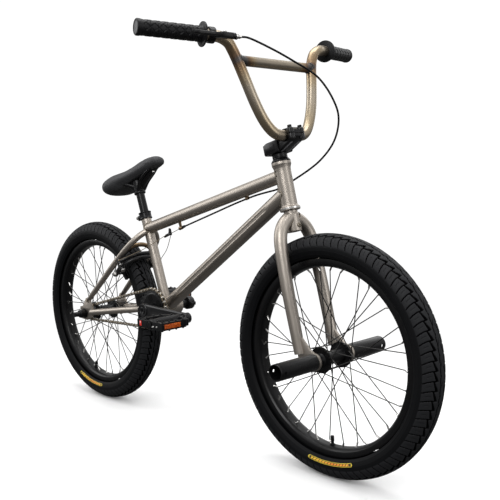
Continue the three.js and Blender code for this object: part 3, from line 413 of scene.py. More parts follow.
def grid(points, close_u=True, close_v=False, uv=None):
    """Faces over rings of points with the shape (rings, around, 3)."""
    rings, around = points.shape[:2]
    i = np.arange(rings if close_v else rings - 1)[:, None]
    j = np.arange(around if close_u else around - 1)[None, :]
    a = i * around + j
    b = i * around + (j + 1) % around
    c = ((i + 1) % rings) * around + (j + 1) % around
    d = ((i + 1) % rings) * around + j
    faces = np.stack([a, b, c, d], -1).reshape(-1, 4)
    if uv is None:
        uv = np.zeros((rings, around, 2))
    return points.reshape(-1, 3), [tuple(f) for f in faces.tolist()], uv.reshape(-1, 2)


def capped(shape, rings, around, start=True, end=True):
    """A grid with its first and last ring closed by one face each."""
    points, faces, uv = shape
    if start:
        faces = faces + [tuple(range(around))]
    if end:
        faces = faces + [tuple(range((rings - 1) * around, rings * around))]
    return points, faces, uv


def unit(v):
    v = np.asarray(v, float)
    return v / np.linalg.norm(v, axis=-1, keepdims=True)


def smooth_path(points, count):
    """Evenly spaced points on a centripetal curve through the given points."""
    p = np.asarray(points, float)
    p = np.vstack([2 * p[0] - p[1], p, 2 * p[-1] - p[-2]])
    out = []
    for k in range(1, len(p) - 2):
        p0, p1, p2, p3 = p[k - 1 : k + 3]
        t0 = 0.0
        t1 = t0 + np.linalg.norm(p1 - p0) ** 0.5
        t2 = t1 + np.linalg.norm(p2 - p1) ** 0.5
        t3 = t2 + np.linalg.norm(p3 - p2) ** 0.5
        for t in np.linspace(t1, t2, 40, endpoint=k == len(p) - 3):
            a1 = (t1 - t) / (t1 - t0) * p0 + (t - t0) / (t1 - t0) * p1
            a2 = (t2 - t) / (t2 - t1) * p1 + (t - t1) / (t2 - t1) * p2
            a3 = (t3 - t) / (t3 - t2) * p2 + (t - t2) / (t3 - t2) * p3
            b1 = (t2 - t) / (t2 - t0) * a1 + (t - t0) / (t2 - t0) * a2
            b2 = (t3 - t) / (t3 - t1) * a2 + (t - t1) / (t3 - t1) * a3
            out.append((t2 - t) / (t2 - t1) * b1 + (t - t1) / (t2 - t1) * b2)
    return resample(np.array(out), count)


def resample(p, count):
    """The same line as count points at equal steps."""
    s = np.concatenate([[0], np.cumsum(np.linalg.norm(np.diff(p, axis=0), axis=1))])
    at = np.linspace(0, s[-1], count)
    return np.stack([np.interp(at, s, p[:, k]) for k in range(3)], 1)


def sweep(path, radius, sides, squash=1.0, side=(0, 1, 0), start=True, end=True):
    """A tube along a path. radius and squash may vary; its rings keep one sideways direction."""
    p = np.asarray(path, float)
    n = len(p)
    along = unit(np.gradient(p, axis=0))
    across = unit(np.cross(np.broadcast_to(np.asarray(side, float), p.shape), along))
    upward = np.cross(along, across)
    r = np.broadcast_to(np.asarray(radius, float), (n,))[:, None, None]
    q = np.broadcast_to(np.asarray(squash, float), (n,))[:, None, None]
    a = np.linspace(0, 2 * math.pi, sides, endpoint=False)[None, :, None]
    rings = p[:, None] + r * (np.cos(a) * across[:, None] + q * np.sin(a) * upward[:, None])
    s = np.concatenate([[0], np.cumsum(np.linalg.norm(np.diff(p, axis=0), axis=1))])
    uv = np.stack(np.broadcast_arrays(np.linspace(0, 1, sides)[None, :] * 60, s[:, None]), -1)
    return capped(grid(rings, uv=uv), n, sides, start, end)


def straight(a, b, radius, sides):
    """A round rod between two points."""
    a, b = np.asarray(a, float), np.asarray(b, float)
    side = (0, 1, 0) if abs(unit(b - a)[1]) < 0.9 else (0, 0, 1)
    return sweep(a + (b - a) * np.array([[0.0], [1.0]]), radius, sides, side=side)


def basis(direction):
    """Two directions square to the given one, then that one."""
    d = unit(direction)
    helper = np.array([0, 0, 1.0]) if abs(d[2]) < 0.9 else np.array([1.0, 0, 0])
    x = unit(np.cross(helper, d))
    return x, np.cross(d, x), d


def revolve(profile, origin, direction, sides, closed=True):
    """profile is (radius, distance along the axis), going round the section."""
    x, y, d = basis(direction)
    prof = np.asarray(profile, float)
    r, h = prof[:, 0][:, None, None], prof[:, 1][:, None, None]
    a = np.linspace(0, 2 * math.pi, sides, endpoint=False)[None, :, None]
    rings = np.asarray(origin, float) + h * d + r * (np.cos(a) * x + np.sin(a) * y)
    run = np.concatenate([[0], np.cumsum(np.linalg.norm(np.diff(prof, axis=0), axis=1))])
    uv = np.stack(np.broadcast_arrays(np.linspace(0, 1, sides)[None, :] * 60, run[:, None]), -1)
    return grid(rings, close_v=closed, uv=uv)


def rounded(profile, radius, steps=3):
    """The section with its corners rounded."""
    p = np.asarray(profile, float)
    out = []
    for k in range(len(p)):
        before, here, after = p[k - 1], p[k], p[(k + 1) % len(p)]
        a, b = before - here, after - here
        la, lb = np.linalg.norm(a), np.linalg.norm(b)
        if min(la, lb) < 1e-6:
            continue
        cut = min(radius, 0.45 * la, 0.45 * lb)
        s, e = here + a / la * cut, here + b / lb * cut
        for t in np.linspace(0, 1, steps + 1):
            out.append((1 - t) ** 2 * s + 2 * t * (1 - t) * here + t * t * e)
    return np.array(out)


def ring(inner, outer, low, high):
    """The section of a plain ring, as (radius, distance along the axis)."""
    return [(inner, low), (outer, low), (outer, high), (inner, high)]


def disc(radius, low, high):
    """The section of a plain disc. Its middle is a pinhole, too small to see."""
    return ring(0.01, radius, low, high)


def turned(section, ease, origin, direction, sides):
    """A revolved section with its corners rounded by ease."""
    return revolve(rounded(section, ease), origin, direction, sides)


def slab(outline, low, high, origin, x, y, edge, corner=0.0):
    """An outline extruded along x cross y, with its rims eased over by edge."""
    p = rounded(outline, corner) if corner else np.asarray(outline, float)
    area = 0.5 * np.sum(p[:, 0] * np.roll(p[:, 1], -1) - np.roll(p[:, 0], -1) * p[:, 1])
    if area < 0:
        p = p[::-1]
    x, y = unit(x), unit(y)
    z = np.cross(x, y)
    t_in = unit(p - np.roll(p, 1, 0))
    t_out = unit(np.roll(p, -1, 0) - p)
    normal = unit(np.stack([t_in[:, 1] + t_out[:, 1], -t_in[:, 0] - t_out[:, 0]], 1) + 1e-9)
    rings = []
    for inset, h in (
        (edge, low), (edge * 0.3, low + edge * 0.3), (0, low + edge), (0, high - edge),
        (edge * 0.3, high - edge * 0.3), (edge, high),
    ):
        q = p - normal * inset
        rings.append(np.asarray(origin, float) + q[:, :1] * x + q[:, 1:] * y + h * z)
    rings = np.array(rings)
    uv = np.stack([rings[..., 0] * 0.6, rings[..., 2] * 0.6], -1)
    return capped(grid(rings, uv=uv), len(rings), len(p))


def block(size, centre, x=(1, 0, 0), y=(0, 1, 0), edge=0.8):
    sx, sy, sz = (s / 2 for s in size)
    outline = [(-sx, -sy), (sx, -sy), (sx, sy), (-sx, sy)]
    return slab(outline, -sz, sz, centre, x, y, min(edge, sz * 0.8), corner=min(edge * 1.5, sx, sy))


def bolt(origin, direction, radius, height, socket=0.5):
    """A round socket-head bolt standing on a face."""
    r = radius
    profile = [
        (0.01, 0), (r, 0), (r, height * 0.8), (r * 0.92, height), (r * socket, height),
        (r * socket, height * 0.35), (0.01, height * 0.35),
    ]
    return turned(profile, 0.25, origin, direction, 36)


def hexagon(origin, direction, across, height):
    """A six-sided nut or bolt head with eased corners."""
    x, y, _ = basis(direction)
    r = across / math.sqrt(3)
    outline = [(r * math.cos(k * math.pi / 3), r * math.sin(k * math.pi / 3)) for k in range(6)]
    return slab(outline, 0, height, origin, x, y, edge=min(0.8, height * 0.2), corner=0.8)


def ray_to_cylinder(point, direction, centre, axis, radius, last=False):
    """Where lines meet a cylinder: the first or the last crossing."""
    axis = unit(axis)
    w = point - centre
    wp = w - (w @ axis)[..., None] * axis
    dp = direction - (direction @ axis) * axis
    a = dp @ dp
    b = wp @ dp
    c = np.sum(wp * wp, -1) - radius**2
    root = np.sqrt(np.maximum(b * b - a * c, 0))
    return (-b + root) / a if last else (-b - root) / a


def mitred(a, b, radius, start, end, steps):
    """A round tube cut to sit on cylinders given as (centre, axis, radius), and its end rings."""
    sides, sink = 112, 0.8  # each end runs this far into the tube it sits on
    a, b = np.asarray(a, float), np.asarray(b, float)
    x, y, d = basis(b - a)
    ang = np.linspace(0, 2 * math.pi, sides, endpoint=False)
    rim = a + radius * (np.cos(ang)[:, None] * x + np.sin(ang)[:, None] * y)
    t0 = ray_to_cylinder(rim, d, np.asarray(start[0], float), start[1], start[2] - sink, last=True)
    t1 = np.full(sides, np.linalg.norm(b - a))
    if end:
        t1 = ray_to_cylinder(rim, d, np.asarray(end[0], float), end[1], end[2] - sink)
    s = np.linspace(0, 1, steps)[:, None]
    t = t0 + (t1 - t0) * s
    rings = rim[None] + t[..., None] * d
    uv = np.stack(np.broadcast_arrays(np.linspace(0, 1, sides)[None, :] * 60, t), -1)
    return grid(rings, uv=uv), rings[0], rings[-1]


def bead(rim, middle, size, ripples=46):
    """A rippled weld bead along a closed rim of points. middle lies on the tube's axis."""
    p = resample(np.vstack([rim, rim[:1]]), ripples * 6 + 1)[:-1]
    n = len(p)
    along = unit(np.roll(p, -1, 0) - np.roll(p, 1, 0))
    out = unit(p - middle)
    out = unit(out - np.sum(out * along, 1)[:, None] * along)
    other = np.cross(along, out)
    phase = np.arange(n) * 2 * math.pi * ripples / n
    r = size * (1 + 0.10 * np.cos(phase))
    ang = np.linspace(0, 2 * math.pi, 12, endpoint=False)[None, :, None]
    rings = p[:, None] + r[:, None, None] * (
        np.cos(ang) * out[:, None] + np.sin(ang) * other[:, None]
    )
    uv = np.zeros((n, 12, 2))
    return grid(rings, close_v=True, uv=uv)


# ---------------------------------------- objects
def piece(
    name, shape, material, body, replaces=None, slot=None,
    sharp=32, warm=None, groove=None, outward=True,
):
    """One object from a shape, riding on a body. warm and groove are values at its points."""
    points, faces, uv = shape
    mesh = bpy.data.meshes.new(name)
    mesh.from_pydata((points * MM).tolist(), [], faces)
    if outward:
        bm = bmesh.new()
        bm.from_mesh(mesh)
        bmesh.ops.recalc_face_normals(bm, faces=bm.faces)
        bm.to_mesh(mesh)
        bm.free()
    layer = mesh.uv_layers.new(name="UVMap")
    corner = np.zeros(len(mesh.loops), np.int32)
    mesh.loops.foreach_get("vertex_index", corner)
    layer.data.foreach_set("uv", uv[corner].astype(np.float32).ravel())
    for label, values in (("warm", warm), ("groove", groove)):
        if values is not None:
            attribute = mesh.attributes.new(label, "FLOAT", "POINT")
            attribute.data.foreach_set("value", np.asarray(values, np.float32))
    mesh.shade_smooth()
    mesh.set_sharp_from_angle(angle=math.radians(sharp))
    obj = bpy.data.objects.new(name, mesh)
    scene.collection.objects.link(obj)
    mesh.materials.append(material)
    # keeps facets from showing where light turns to shade
    obj.cycles.shadow_terminator_geometry_offset = 0.4
    obj.cycles.shadow_terminator_offset = 0.12
    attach(obj, body)
    if replaces:
        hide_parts(replaces)
    slot = slot or SLOT_OF.get(material.name)
    return obj


def twin(name, shape, material, body, **options):
    """A piece that replaces the CAD node of the same name."""
    return piece(name, shape, material, body, replaces=name, **options)


def warmth(shape, spots):
    """How heated each point was by weld spots given as (place, reach, strength)."""
    p = shape[0]
    h = np.zeros(len(p))
    for place, reach, strength in spots:
        d = np.linalg.norm(p - np.asarray(place, float), axis=1)
        h = np.maximum(h, strength * np.clip(1 - d / reach, 0, 1) ** 1.2)
    return h


# ---------------------------------------- reference points, as in the CAD
AXLE_Z = 255.0
REAR = np.array([-417.0, 0, AXLE_Z])
FRONT = np.array([417.0, 0, AXLE_Z])
BB = np.array([-117.377, 0, 300.6])
FOOT = np.array([384.404, 0, 255.0])  # of the steering axis, level with the front axle
STEER_UP = np.array([-0.2453074, 0, 0.9694453])
STEER_FORWARD = np.array([0.9694453, 0, 0.2453074])
LEFT = np.array([0, 1.0, 0])
TOP_TUBE_R, DOWN_TUBE_R, SEAT_TUBE_R, BAR_R = 14.3, 17.0, 13.0, 11.1
SEAT_UP = np.array([-0.3173047, 0, 0.9483237])
STAY_UP = np.array([0.759962, 0, 0.6499675])
STUD_OUT = np.array([0.6499675, 0, -0.759962])
YOKE = np.array([-99, 0, 486.5])


def steer(s, n=0.0, y=0.0):
    """A point given from the foot of the steering axis: up it, in front of it, to the left."""
    return FOOT + s * STEER_UP + n * STEER_FORWARD + y * LEFT


def seat_at(z):
    """The point on the seat tube's axis at a height."""
    return BB + SEAT_UP * ((z - BB[2]) / SEAT_UP[2])


HEAD_LOW, HEAD_HIGH = 307.4, 410.0  # up the steering axis
CABLE_STOP = np.array([-51, 0, 504.5])
STOP_ALONG = unit([0.95, 0, 0.31])
# small vent holes in the head tube, drawn as discs of painted shade, as (height up the steering
# axis, direction they face)
VENTS = [
    (391.0, unit(-0.25 * STEER_FORWARD - 0.97 * LEFT)),
    (383.0, unit(-0.32 * STEER_FORWARD - 0.95 * LEFT)),
]
# the round tubes that others are cut to sit on: (point, axis, radius)
HEAD = (steer(HEAD_LOW), STEER_UP, 17.4)
SEAT_TUBE = (seat_at(300), SEAT_UP, SEAT_TUBE_R)
SHELL = (BB, LEFT, 23.0)


# ---------------------------------------- main frame
def make_frame():
    """The main tubes, the bottom bracket shell and the welds between them."""
    length = HEAD_HIGH - HEAD_LOW
    profile = [
        (18.2, 0), (21.5, 0), (21.5, 6.6), (19.2, 8.2), (17.5, 10), (17.4, 14), (17.4, length - 20),
        (18.0, length - 13), (19.6, length - 8), (20.6, length - 6), (20.6, length), (18.3, length),
        (18.3, length - 9), (14.8, length - 9), (14.8, 9), (18.2, 9),
    ]
    head = revolve(rounded(profile, 0.9, 4), steer(HEAD_LOW), STEER_UP, 96)
    twin("head_tube", head, STEEL, "frame")
    ridge = revolve(
        [(21.2, 1.4), (21.75, 2.0), (21.75, 5.0), (21.2, 5.6)], steer(HEAD_LOW), STEER_UP, 96
    )
    piece("head_tube_bead", ridge, BRIGHT, "frame")

    top_a, top_b = np.array([-182, 0, 499.2]), np.array([291, 0, 626.3])
    top, rear_ring, front_ring = mitred(top_a, top_b, TOP_TUBE_R, SEAT_TUBE, HEAD, steps=60)
    welds = [bead(rear_ring, top_a, 2.1), bead(front_ring, top_b, 2.1)]
    twin("top_tube", top, STEEL, "frame")

    down_b = np.array([303, 0, 591.2])
    down, rear_ring, front_ring = mitred(BB, down_b, DOWN_TUBE_R, SHELL, HEAD, steps=90)
    welds += [bead(rear_ring, BB, 2.2), bead(front_ring, down_b, 2.2)]
    twin("down_tube", pressed(down, BB, down_b), STEEL, "frame")

    top = seat_at(537)
    tube, low_ring, _ = mitred(BB, top, SEAT_TUBE_R, SHELL, None, steps=60)
    inner = revolve(
        [(12.95, -0.6), (12.4, 0), (11.6, 0), (11.5, -24)], top, SEAT_UP, 64, closed=False
    )
    twin("seat_tube", join(tube, inner), STEEL, "frame")
    welds.append(bead(low_ring, BB, 2.1))

    half = 36.0
    profile = [
        (19.6, -half), (22.2, -half), (23, -half + 0.8), (23, half - 0.8), (22.2, half),
        (19.6, half), (19.4, 24), (17, 24), (17, -24), (19.4, -24),
    ]
    twin("bottom_bracket_shell", revolve(profile, BB, LEFT, 72), STEEL, "frame")
    piece("frame_welds", join(*welds), WELD, "frame")
    make_cable_stop()


def pressed(shape, a, b):
    """Two shallow pressed grooves, one on each side, that end in rounded loops near the head."""
    points, faces, uv = shape
    a, b = np.asarray(a, float), np.asarray(b, float)
    d = unit(b - a)
    centre = a + ((points - a) @ d)[:, None] * d
    out = unit(points - centre)
    upward = np.cross(d, LEFT)
    t = (points - a) @ d
    height = out @ upward
    side = np.abs(out[:, 1])
    span = np.clip((t - 60) / 40, 0, 1) * np.clip((455 - t) / 14, 0, 1)
    dip = 1.3 * np.clip((0.30 - np.abs(height)) / 0.16, 0, 1) * (side > 0.5) * span
    return points - out * dip[:, None], faces, uv


def make_cable_stop():
    """Under the top tube, a cable stop and a clip; on the head tube, two small vent holes as discs
    of painted shade.
    """
    barrel = turned(ring(1.5, 4.4, -6, 6), 0.8, CABLE_STOP, STOP_ALONG, 32)
    web = slab(
        [(-3.6, 3), (3.6, 3), (5, 19.5), (-5, 19.5)], -1.6, 1.6, CABLE_STOP, STOP_ALONG,
        (-0.31, 0, 0.95), edge=0.6,
    )
    foot = slab(
        [(-8, 17.4), (8, 17.4), (6, 19.8), (-6, 19.8)], -2.4, 2.4, CABLE_STOP, STOP_ALONG,
        (-0.31, 0, 0.95), edge=0.8,
    )
    piece("cable_stop", join(barrel, web, foot), BRONZE, "frame")
    along = unit([0.966, 0, 0.259])
    clip = turned(ring(2.5, 4.0, -4, 4), 0.4, (181, 0.9, 578.1), unit([0.95, 0, 0.3]), 28)
    tab = block((6, 4, 8), (181, 0.5, 582.6), along, LEFT, edge=0.8)
    piece("cable_clip", join(clip, tab), BRONZE, "frame")
    # dark discs on the head tube: painted shade inside the vent holes
    dots = [revolve(disc(1.7, 0, 0.4), steer(h) + d * 17.3, d, 20) for h, d in VENTS]
    piece("head_tube_vent_shade", join(*dots), PAINTED_SHADE, "frame", slot="raw_steel")


# ---------------------------------------- rear triangle
def chain_stay_points(side):
    """The middle line of a chain stay, from the bracket to the dropout."""
    return [
        (BB[0] - 12, side * 28, 298.5), (-155, side * 31, 294.6), (-171, side * 33.2, 292.4),
        (-197, side * 43, 289), (-240, side * 47, 283), (-302, side * 51, 273.5),
        (-388, side * 57.5, 260),
    ]


def seat_stay_points(side):
    """The middle line of a seat stay, from the seat tube to the dropout."""
    return [
        (-178, side * 12, 492), (-189, side * 27, 481), (-203, side * 40, 465),
        (-226, side * 47.5, 444), (-262, side * 51, 413.5), (-339, side * 54.5, 347),
        (-402, side * 58, 292),
    ]


def dropout(side):
    """The plate with the slot that the rear axle sits in."""
    arc = [
        (7.4 * math.cos(t), 7.4 * math.sin(t)) for t in np.linspace(math.pi / 2, -math.pi / 2, 18)
    ]
    outline = [
        (-24, -17), (8, -19), (34, -9), (40, 16), (26, 40), (8, 44), (-10, 20), (-24, 17),
        (-24, 7.4), *arc, (-24, -7.4),
    ]
    low, high = (55.3, 61.3) if side > 0 else (-61.3, -55.3)
    return slab(outline, -high, -low, REAR, (1, 0, 0), (0, 0, 1), edge=0.9)


def make_rear_triangle():
    """Chain stays with dropouts, seat stays with brake studs, and the bridge between them."""
    for side, word in ((-1, "right"), (1, "left")):
        chain_path = smooth_path(chain_stay_points(side), 140)
        t = np.linspace(0, 1, len(chain_path))
        stay = sweep(
            chain_path, 9 - 0.4 * t, 36, side=(0, 0, 1),
            squash=1 - 0.12 * np.exp(-(((t - 0.2) / 0.1) ** 2)),
        )
        twin(f"chain_stay_{word}", join(stay, dropout(side)), STEEL, "frame")
        path = smooth_path(seat_stay_points(side), 160)
        t = np.linspace(0, 1, len(path))
        flat = 1 - 0.25 * np.clip((t - 0.86) / 0.14, 0, 1)
        stay = sweep(path, 8 - 0.6 * t, 36, side=(0.65, 0, -0.76), squash=flat)
        pivot = at_brake(side, 0, 0, 0)
        boss = turned(
            [(0.01, -24), (7, -24), (7, -8.6), (4, -8.6), (4, 8.6), (0.01, 8.6)], 0.5, pivot,
            STUD_OUT, 36,
        )
        twin(f"seat_stay_{word}", join(stay, boss), STEEL, "frame")
        cap = bolt(pivot + STUD_OUT * 8.7, STUD_OUT, 6.6, 4.0)
        piece(f"brake_stud_bolt_{word}", cap, BRIGHT, "frame")
        end_path = smooth_path([path[-3], path[-3] + unit(path[-3] - path[-9]) * 3], 4)
        end = sweep(end_path, [8.2, 8.6, 8.6, 7.4], 24)
        collar = sweep(chain_path[1:4], [10, 10.4, 9.6], 28, side=(0, 0, 1))
        piece(f"stay_welds_{word}", join(end, collar), WELD, "frame")
    path = smooth_path(
        [
            (-233, -43, 441), (-229.5, -21, 451.5), (-228.5, 0, 454.5), (-229.5, 21, 451.5),
            (-233, 43, 441),
        ],
        60,
    )
    bridge = sweep(path, 6, 28, side=(0.65, 0, -0.76))
    twin("seat_stay_bridge", bridge, BRONZE, "frame")


# ---------------------------------------- seat, post and clamp
def make_seat_parts():
    """The seat post, and the clamp on the seat tube with its bolt."""
    post = turned(
        [(0.01, 0), (10.3, 0), (11.1, 1), (11.1, 237), (10.3, 240), (0.01, 240)], 0.5, seat_at(400),
        SEAT_UP, 56,
    )
    twin("seat_post", post, BLACK, "seat")
    low = seat_at(523)
    collar = turned(
        [
            (13.3, 0), (16.4, 0), (16.6, 2), (15.6, 4), (15.6, 14), (16.6, 15.5), (16.6, 18),
            (11.7, 18), (11.7, 15.4), (13.3, 15),
        ],
        0.5, low, SEAT_UP, 64,
    )
    mid = seat_at(531)
    x = unit(np.array([SEAT_UP[2], 0, -SEAT_UP[0]]))
    lugs = [block((12, 6.6, 13), mid - x * 19 + LEFT * s * 5, x, LEFT, edge=1.6) for s in (-1, 1)]
    twin("seat_clamp", join(collar, *lugs), BLACK, "frame")
    bolt_at = mid - x * 20.5
    head = bolt(bolt_at - LEFT * 8.3, -LEFT, 4.2, 5.0)
    nut = bolt(bolt_at + LEFT * 8.3, LEFT, 4.0, 4.0)
    piece("seat_clamp_bolt", join(head, nut), BRIGHT, "frame")


# along the seat: (x, top, bottom, half width)
SADDLE = [
    (-117, 670, 660, 8), (-122, 679, 655, 18), (-138, 683.5, 650, 24), (-165, 677, 643, 27),
    (-195, 667, 633, 30), (-225, 655, 618, 36), (-250, 646, 605, 46), (-275, 639.5, 588, 58),
    (-300, 635, 577, 61), (-318, 630, 581, 53), (-330, 622, 592, 38),
]


def saddle_rings(shrink):
    """Rings of points round the pad, hollow underneath, drawn in by shrink."""
    around, steps = 48, 60
    stations = np.array(SADDLE, float)
    t = np.linspace(0, len(stations) - 1, steps)
    k = np.arange(len(stations))
    x, top, bottom, half = (np.interp(t, k, stations[:, c]) for c in range(4))
    kernel = np.array([1, 3, 5, 3, 1]) / 13

    def smooth(values):
        return np.convolve(np.pad(values, 2, mode="edge"), kernel, "valid")

    top, bottom, half = smooth(top) - shrink, smooth(bottom) + shrink, smooth(half) - shrink
    a = np.linspace(0, 2 * math.pi, around, endpoint=False)
    ca, sa = np.cos(a), np.sin(a)
    y = half[:, None] * np.sign(ca) * np.abs(ca) ** 0.8
    z = (
        (top + bottom) / 2
    )[:, None] + ((top - bottom) / 2)[:, None] * np.sign(sa) * np.abs(sa) ** 0.9
    inside = np.clip(1 - (np.abs(y) / np.maximum(half[:, None] - 6, 1)) ** 4, 0, 1)
    under = np.clip(-sa, 0, 1)[None, :] * inside
    depth = np.interp(t, [0, 2, 5, 7, 9, 10], [0, 0.12, 0.20, 0.10, 0.0, 0.0])
    z = z + under * ((top - bottom) * depth)[:, None]
    nose = np.interp(t, [0, 1.5], [1, 0])[:, None] * shrink
    return np.stack([np.broadcast_to(x[:, None], y.shape) - nose, y, z], -1)


def make_pad():
    """The seat pad, swollen as cloth."""
    rings = saddle_rings(shrink=2.5)
    shape = capped(grid(rings), len(rings), rings.shape[1])
    pad = piece("seat_pad", shape, VINYL, "seat", sharp=180)
    inflate(pad)
    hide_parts("seat_pad")


def inflate(pad):
    """Swell the pad a little as cloth, so that it is crowned and full, then keep the result."""
    voxel, pressure, frames, most = 0.0045, 4, 20, 0.005  # most is the furthest a point may move
    remesh = pad.modifiers.new("remesh", "REMESH")
    remesh.mode = "VOXEL"
    remesh.voxel_size = voxel
    depsgraph = bpy.context.evaluated_depsgraph_get()
    new = bpy.data.meshes.new_from_object(pad.evaluated_get(depsgraph))
    pad.modifiers.clear()
    pad.data = new
    before = np.array([v.co for v in new.vertices])
    cloth = pad.modifiers.new("cloth", "CLOTH")
    cloth.settings.use_pressure = True
    cloth.settings.uniform_pressure_force = pressure
    cloth.settings.effector_weights.gravity = 0
    cloth.settings.quality = 5
    cloth.collision_settings.use_collision = False
    for number in range(1, frames + 1):
        scene.frame_set(number)
    depsgraph = bpy.context.evaluated_depsgraph_get()
    swollen = bpy.data.meshes.new_from_object(pad.evaluated_get(depsgraph))
    pad.modifiers.clear()
    after = np.array([v.co for v in swollen.vertices])
    move = after - before
    size = np.linalg.norm(move, axis=1, keepdims=True)
    move *= np.minimum(1, most / np.maximum(size, 1e-9))
    swollen.vertices.foreach_set("co", (before + move).astype(np.float32).ravel())
    swollen.shade_smooth()
    pad.data = swollen
    swollen.materials.clear()
    swollen.materials.append(VINYL)
    subdivision = pad.modifiers.new("subdivision", "SUBSURF")
    subdivision.levels = subdivision.render_levels = 1
    scene.frame_set(1)


def make_seat_base():
    """The socket on the post and the ribs and wings that hold the pad."""
    socket = turned(
        [(11.5, 0), (15, 0), (15.2, 3), (14.2, 6), (14.6, 34), (11.5, 34)], 0.6, seat_at(588),
        SEAT_UP, 48,
    )
    nose = smooth_path([(-214, 0, 602), (-198, 0, 617), (-172, 0, 636), (-140, 0, 655)], 40)
    parts = [socket, sweep(nose, np.linspace(8.6, 5, 40), 24, squash=1.5)]
    for side in (-1, 1):
        wing = smooth_path(
            [(-222, side * 6, 604), (-240, side * 18, 611), (-262, side * 32, 618)], 30
        )
        parts.append(sweep(wing, np.linspace(7.5, 5, 30), 20, side=(0, 0, 1)))
        rib = smooth_path(
            [
                (-208, side * 9, 598), (-196, side * 13, 618), (-170, side * 14, 640),
                (-146, side * 8, 656),
            ],
            40,
        )
        parts.append(sweep(rib, np.linspace(3.4, 2.4, 40), 16, squash=1.6))
    for x, z in ((-190, 631), (-168, 643)):
        parts.append(block((3, 22, 9), (x, 0, z), unit([0.75, 0, 0.66]), LEFT, edge=0.8))
    twin("seat_base", join(*parts), PLASTIC, "seat")
    screw = bolt((-147, -5, 644.5), (0.25, -0.2, -0.95), 3.4, 2.2)
    piece("seat_screw", screw, BRIGHT, "seat")


# ---------------------------------------- fork
def fork_path(side):
    """The middle line of a fork leg, from the column down to the axle plate."""
    path = [
        (291, 11), (282, 25.5), (270, 37.5), (254, 45.5), (230, 50), (190, 52.7), (150, 54.5),
        (12, 54.5),
    ]
    return [steer(s, 0, side * y) for s, y in path]


def make_fork():
    profile = [
        (10.2, 0), (15.4, 0), (16, 0.8), (16, 36), (14.4, 40), (14.4, 44.6), (12.7, 45.4),
        (12.7, 189), (12.2, 190), (10.2, 190),
    ]
    column = turned(profile, 0.5, steer(262), STEER_UP, 72)
    twin("steerer", column, STEEL, "fork")
    boss = turned(
        [(0.01, 0), (5.0, 0), (5.0, 3.6), (2.9, 4.4), (2.4, 4.4), (2.4, 1), (0.01, 1)], 0.5,
        steer(273, 14.0), STEER_FORWARD, 32,
    )
    piece("fork_brake_boss", boss, WELD, "fork")
    # a dark disc at the bottom of the boss's hole: painted shade
    piece(
        "fork_brake_hole_shade", revolve(disc(2.85, 1.2, 1.5), steer(273, 14.0), STEER_FORWARD, 24), PAINTED_SHADE,
        "fork",
    )
    for side, word in ((-1, "right"), (1, "left")):
        path = smooth_path(fork_path(side), 160)
        t = np.linspace(0, 1, 160)
        radius = np.interp(t, [0, 0.3, 1], [14.0, 13.6, 11.9])
        leg = sweep(path, radius, 88, side=STEER_FORWARD, end=False)
        deep = path[::-1][:10]
        inner = sweep(deep, 10.6, 48, side=STEER_FORWARD, start=False)
        arc = [
            (31.6 + 18.5 * math.cos(a), -8 + 18.5 * math.sin(a))
            for a in np.linspace(-math.pi * 0.72, math.pi * 0.42, 22)
        ]
        outline = [(-6, 4), (14, -18), *arc, (28, 18), (10, 48), (-6, 52)]
        low, high = (50.3, 56.5) if side > 0 else (-56.5, -50.3)
        plate = slab(outline, -high, -low, FOOT, STEER_FORWARD, STEER_UP, edge=0.9)
        twin(f"fork_leg_{word}", join(leg, inner, plate), STEEL, "fork")
        washer = turned(ring(7, 12, 0, 1.6), 0.3, FRONT + LEFT * side * 48.6, LEFT * side, 40)
        piece(f"axle_washer_{word}", washer, BRIGHT, "fork")
    cap = [
        (13.1, 0), (20.4, 0), (20.5, 2.2), (18.4, 5.4), (16.3, 7.2), (16.0, 8.2), (16, 8.8),
        (15.6, 9.1), (16, 9.4), (16, 17.4), (15.5, 17.8), (13.1, 17.8),
    ]
    twin("headset_cap", turned(cap, 0.3, steer(HEAD_HIGH + 0.2), STEER_UP, 72), BLACK, "fork")


# ---------------------------------------- stem
# the bar's height up the steering axis, its reach in front of it, and the stem's lower face
BAR_UP, BAR_N, STEM_LOW = 455.5, 38.8, 428.3


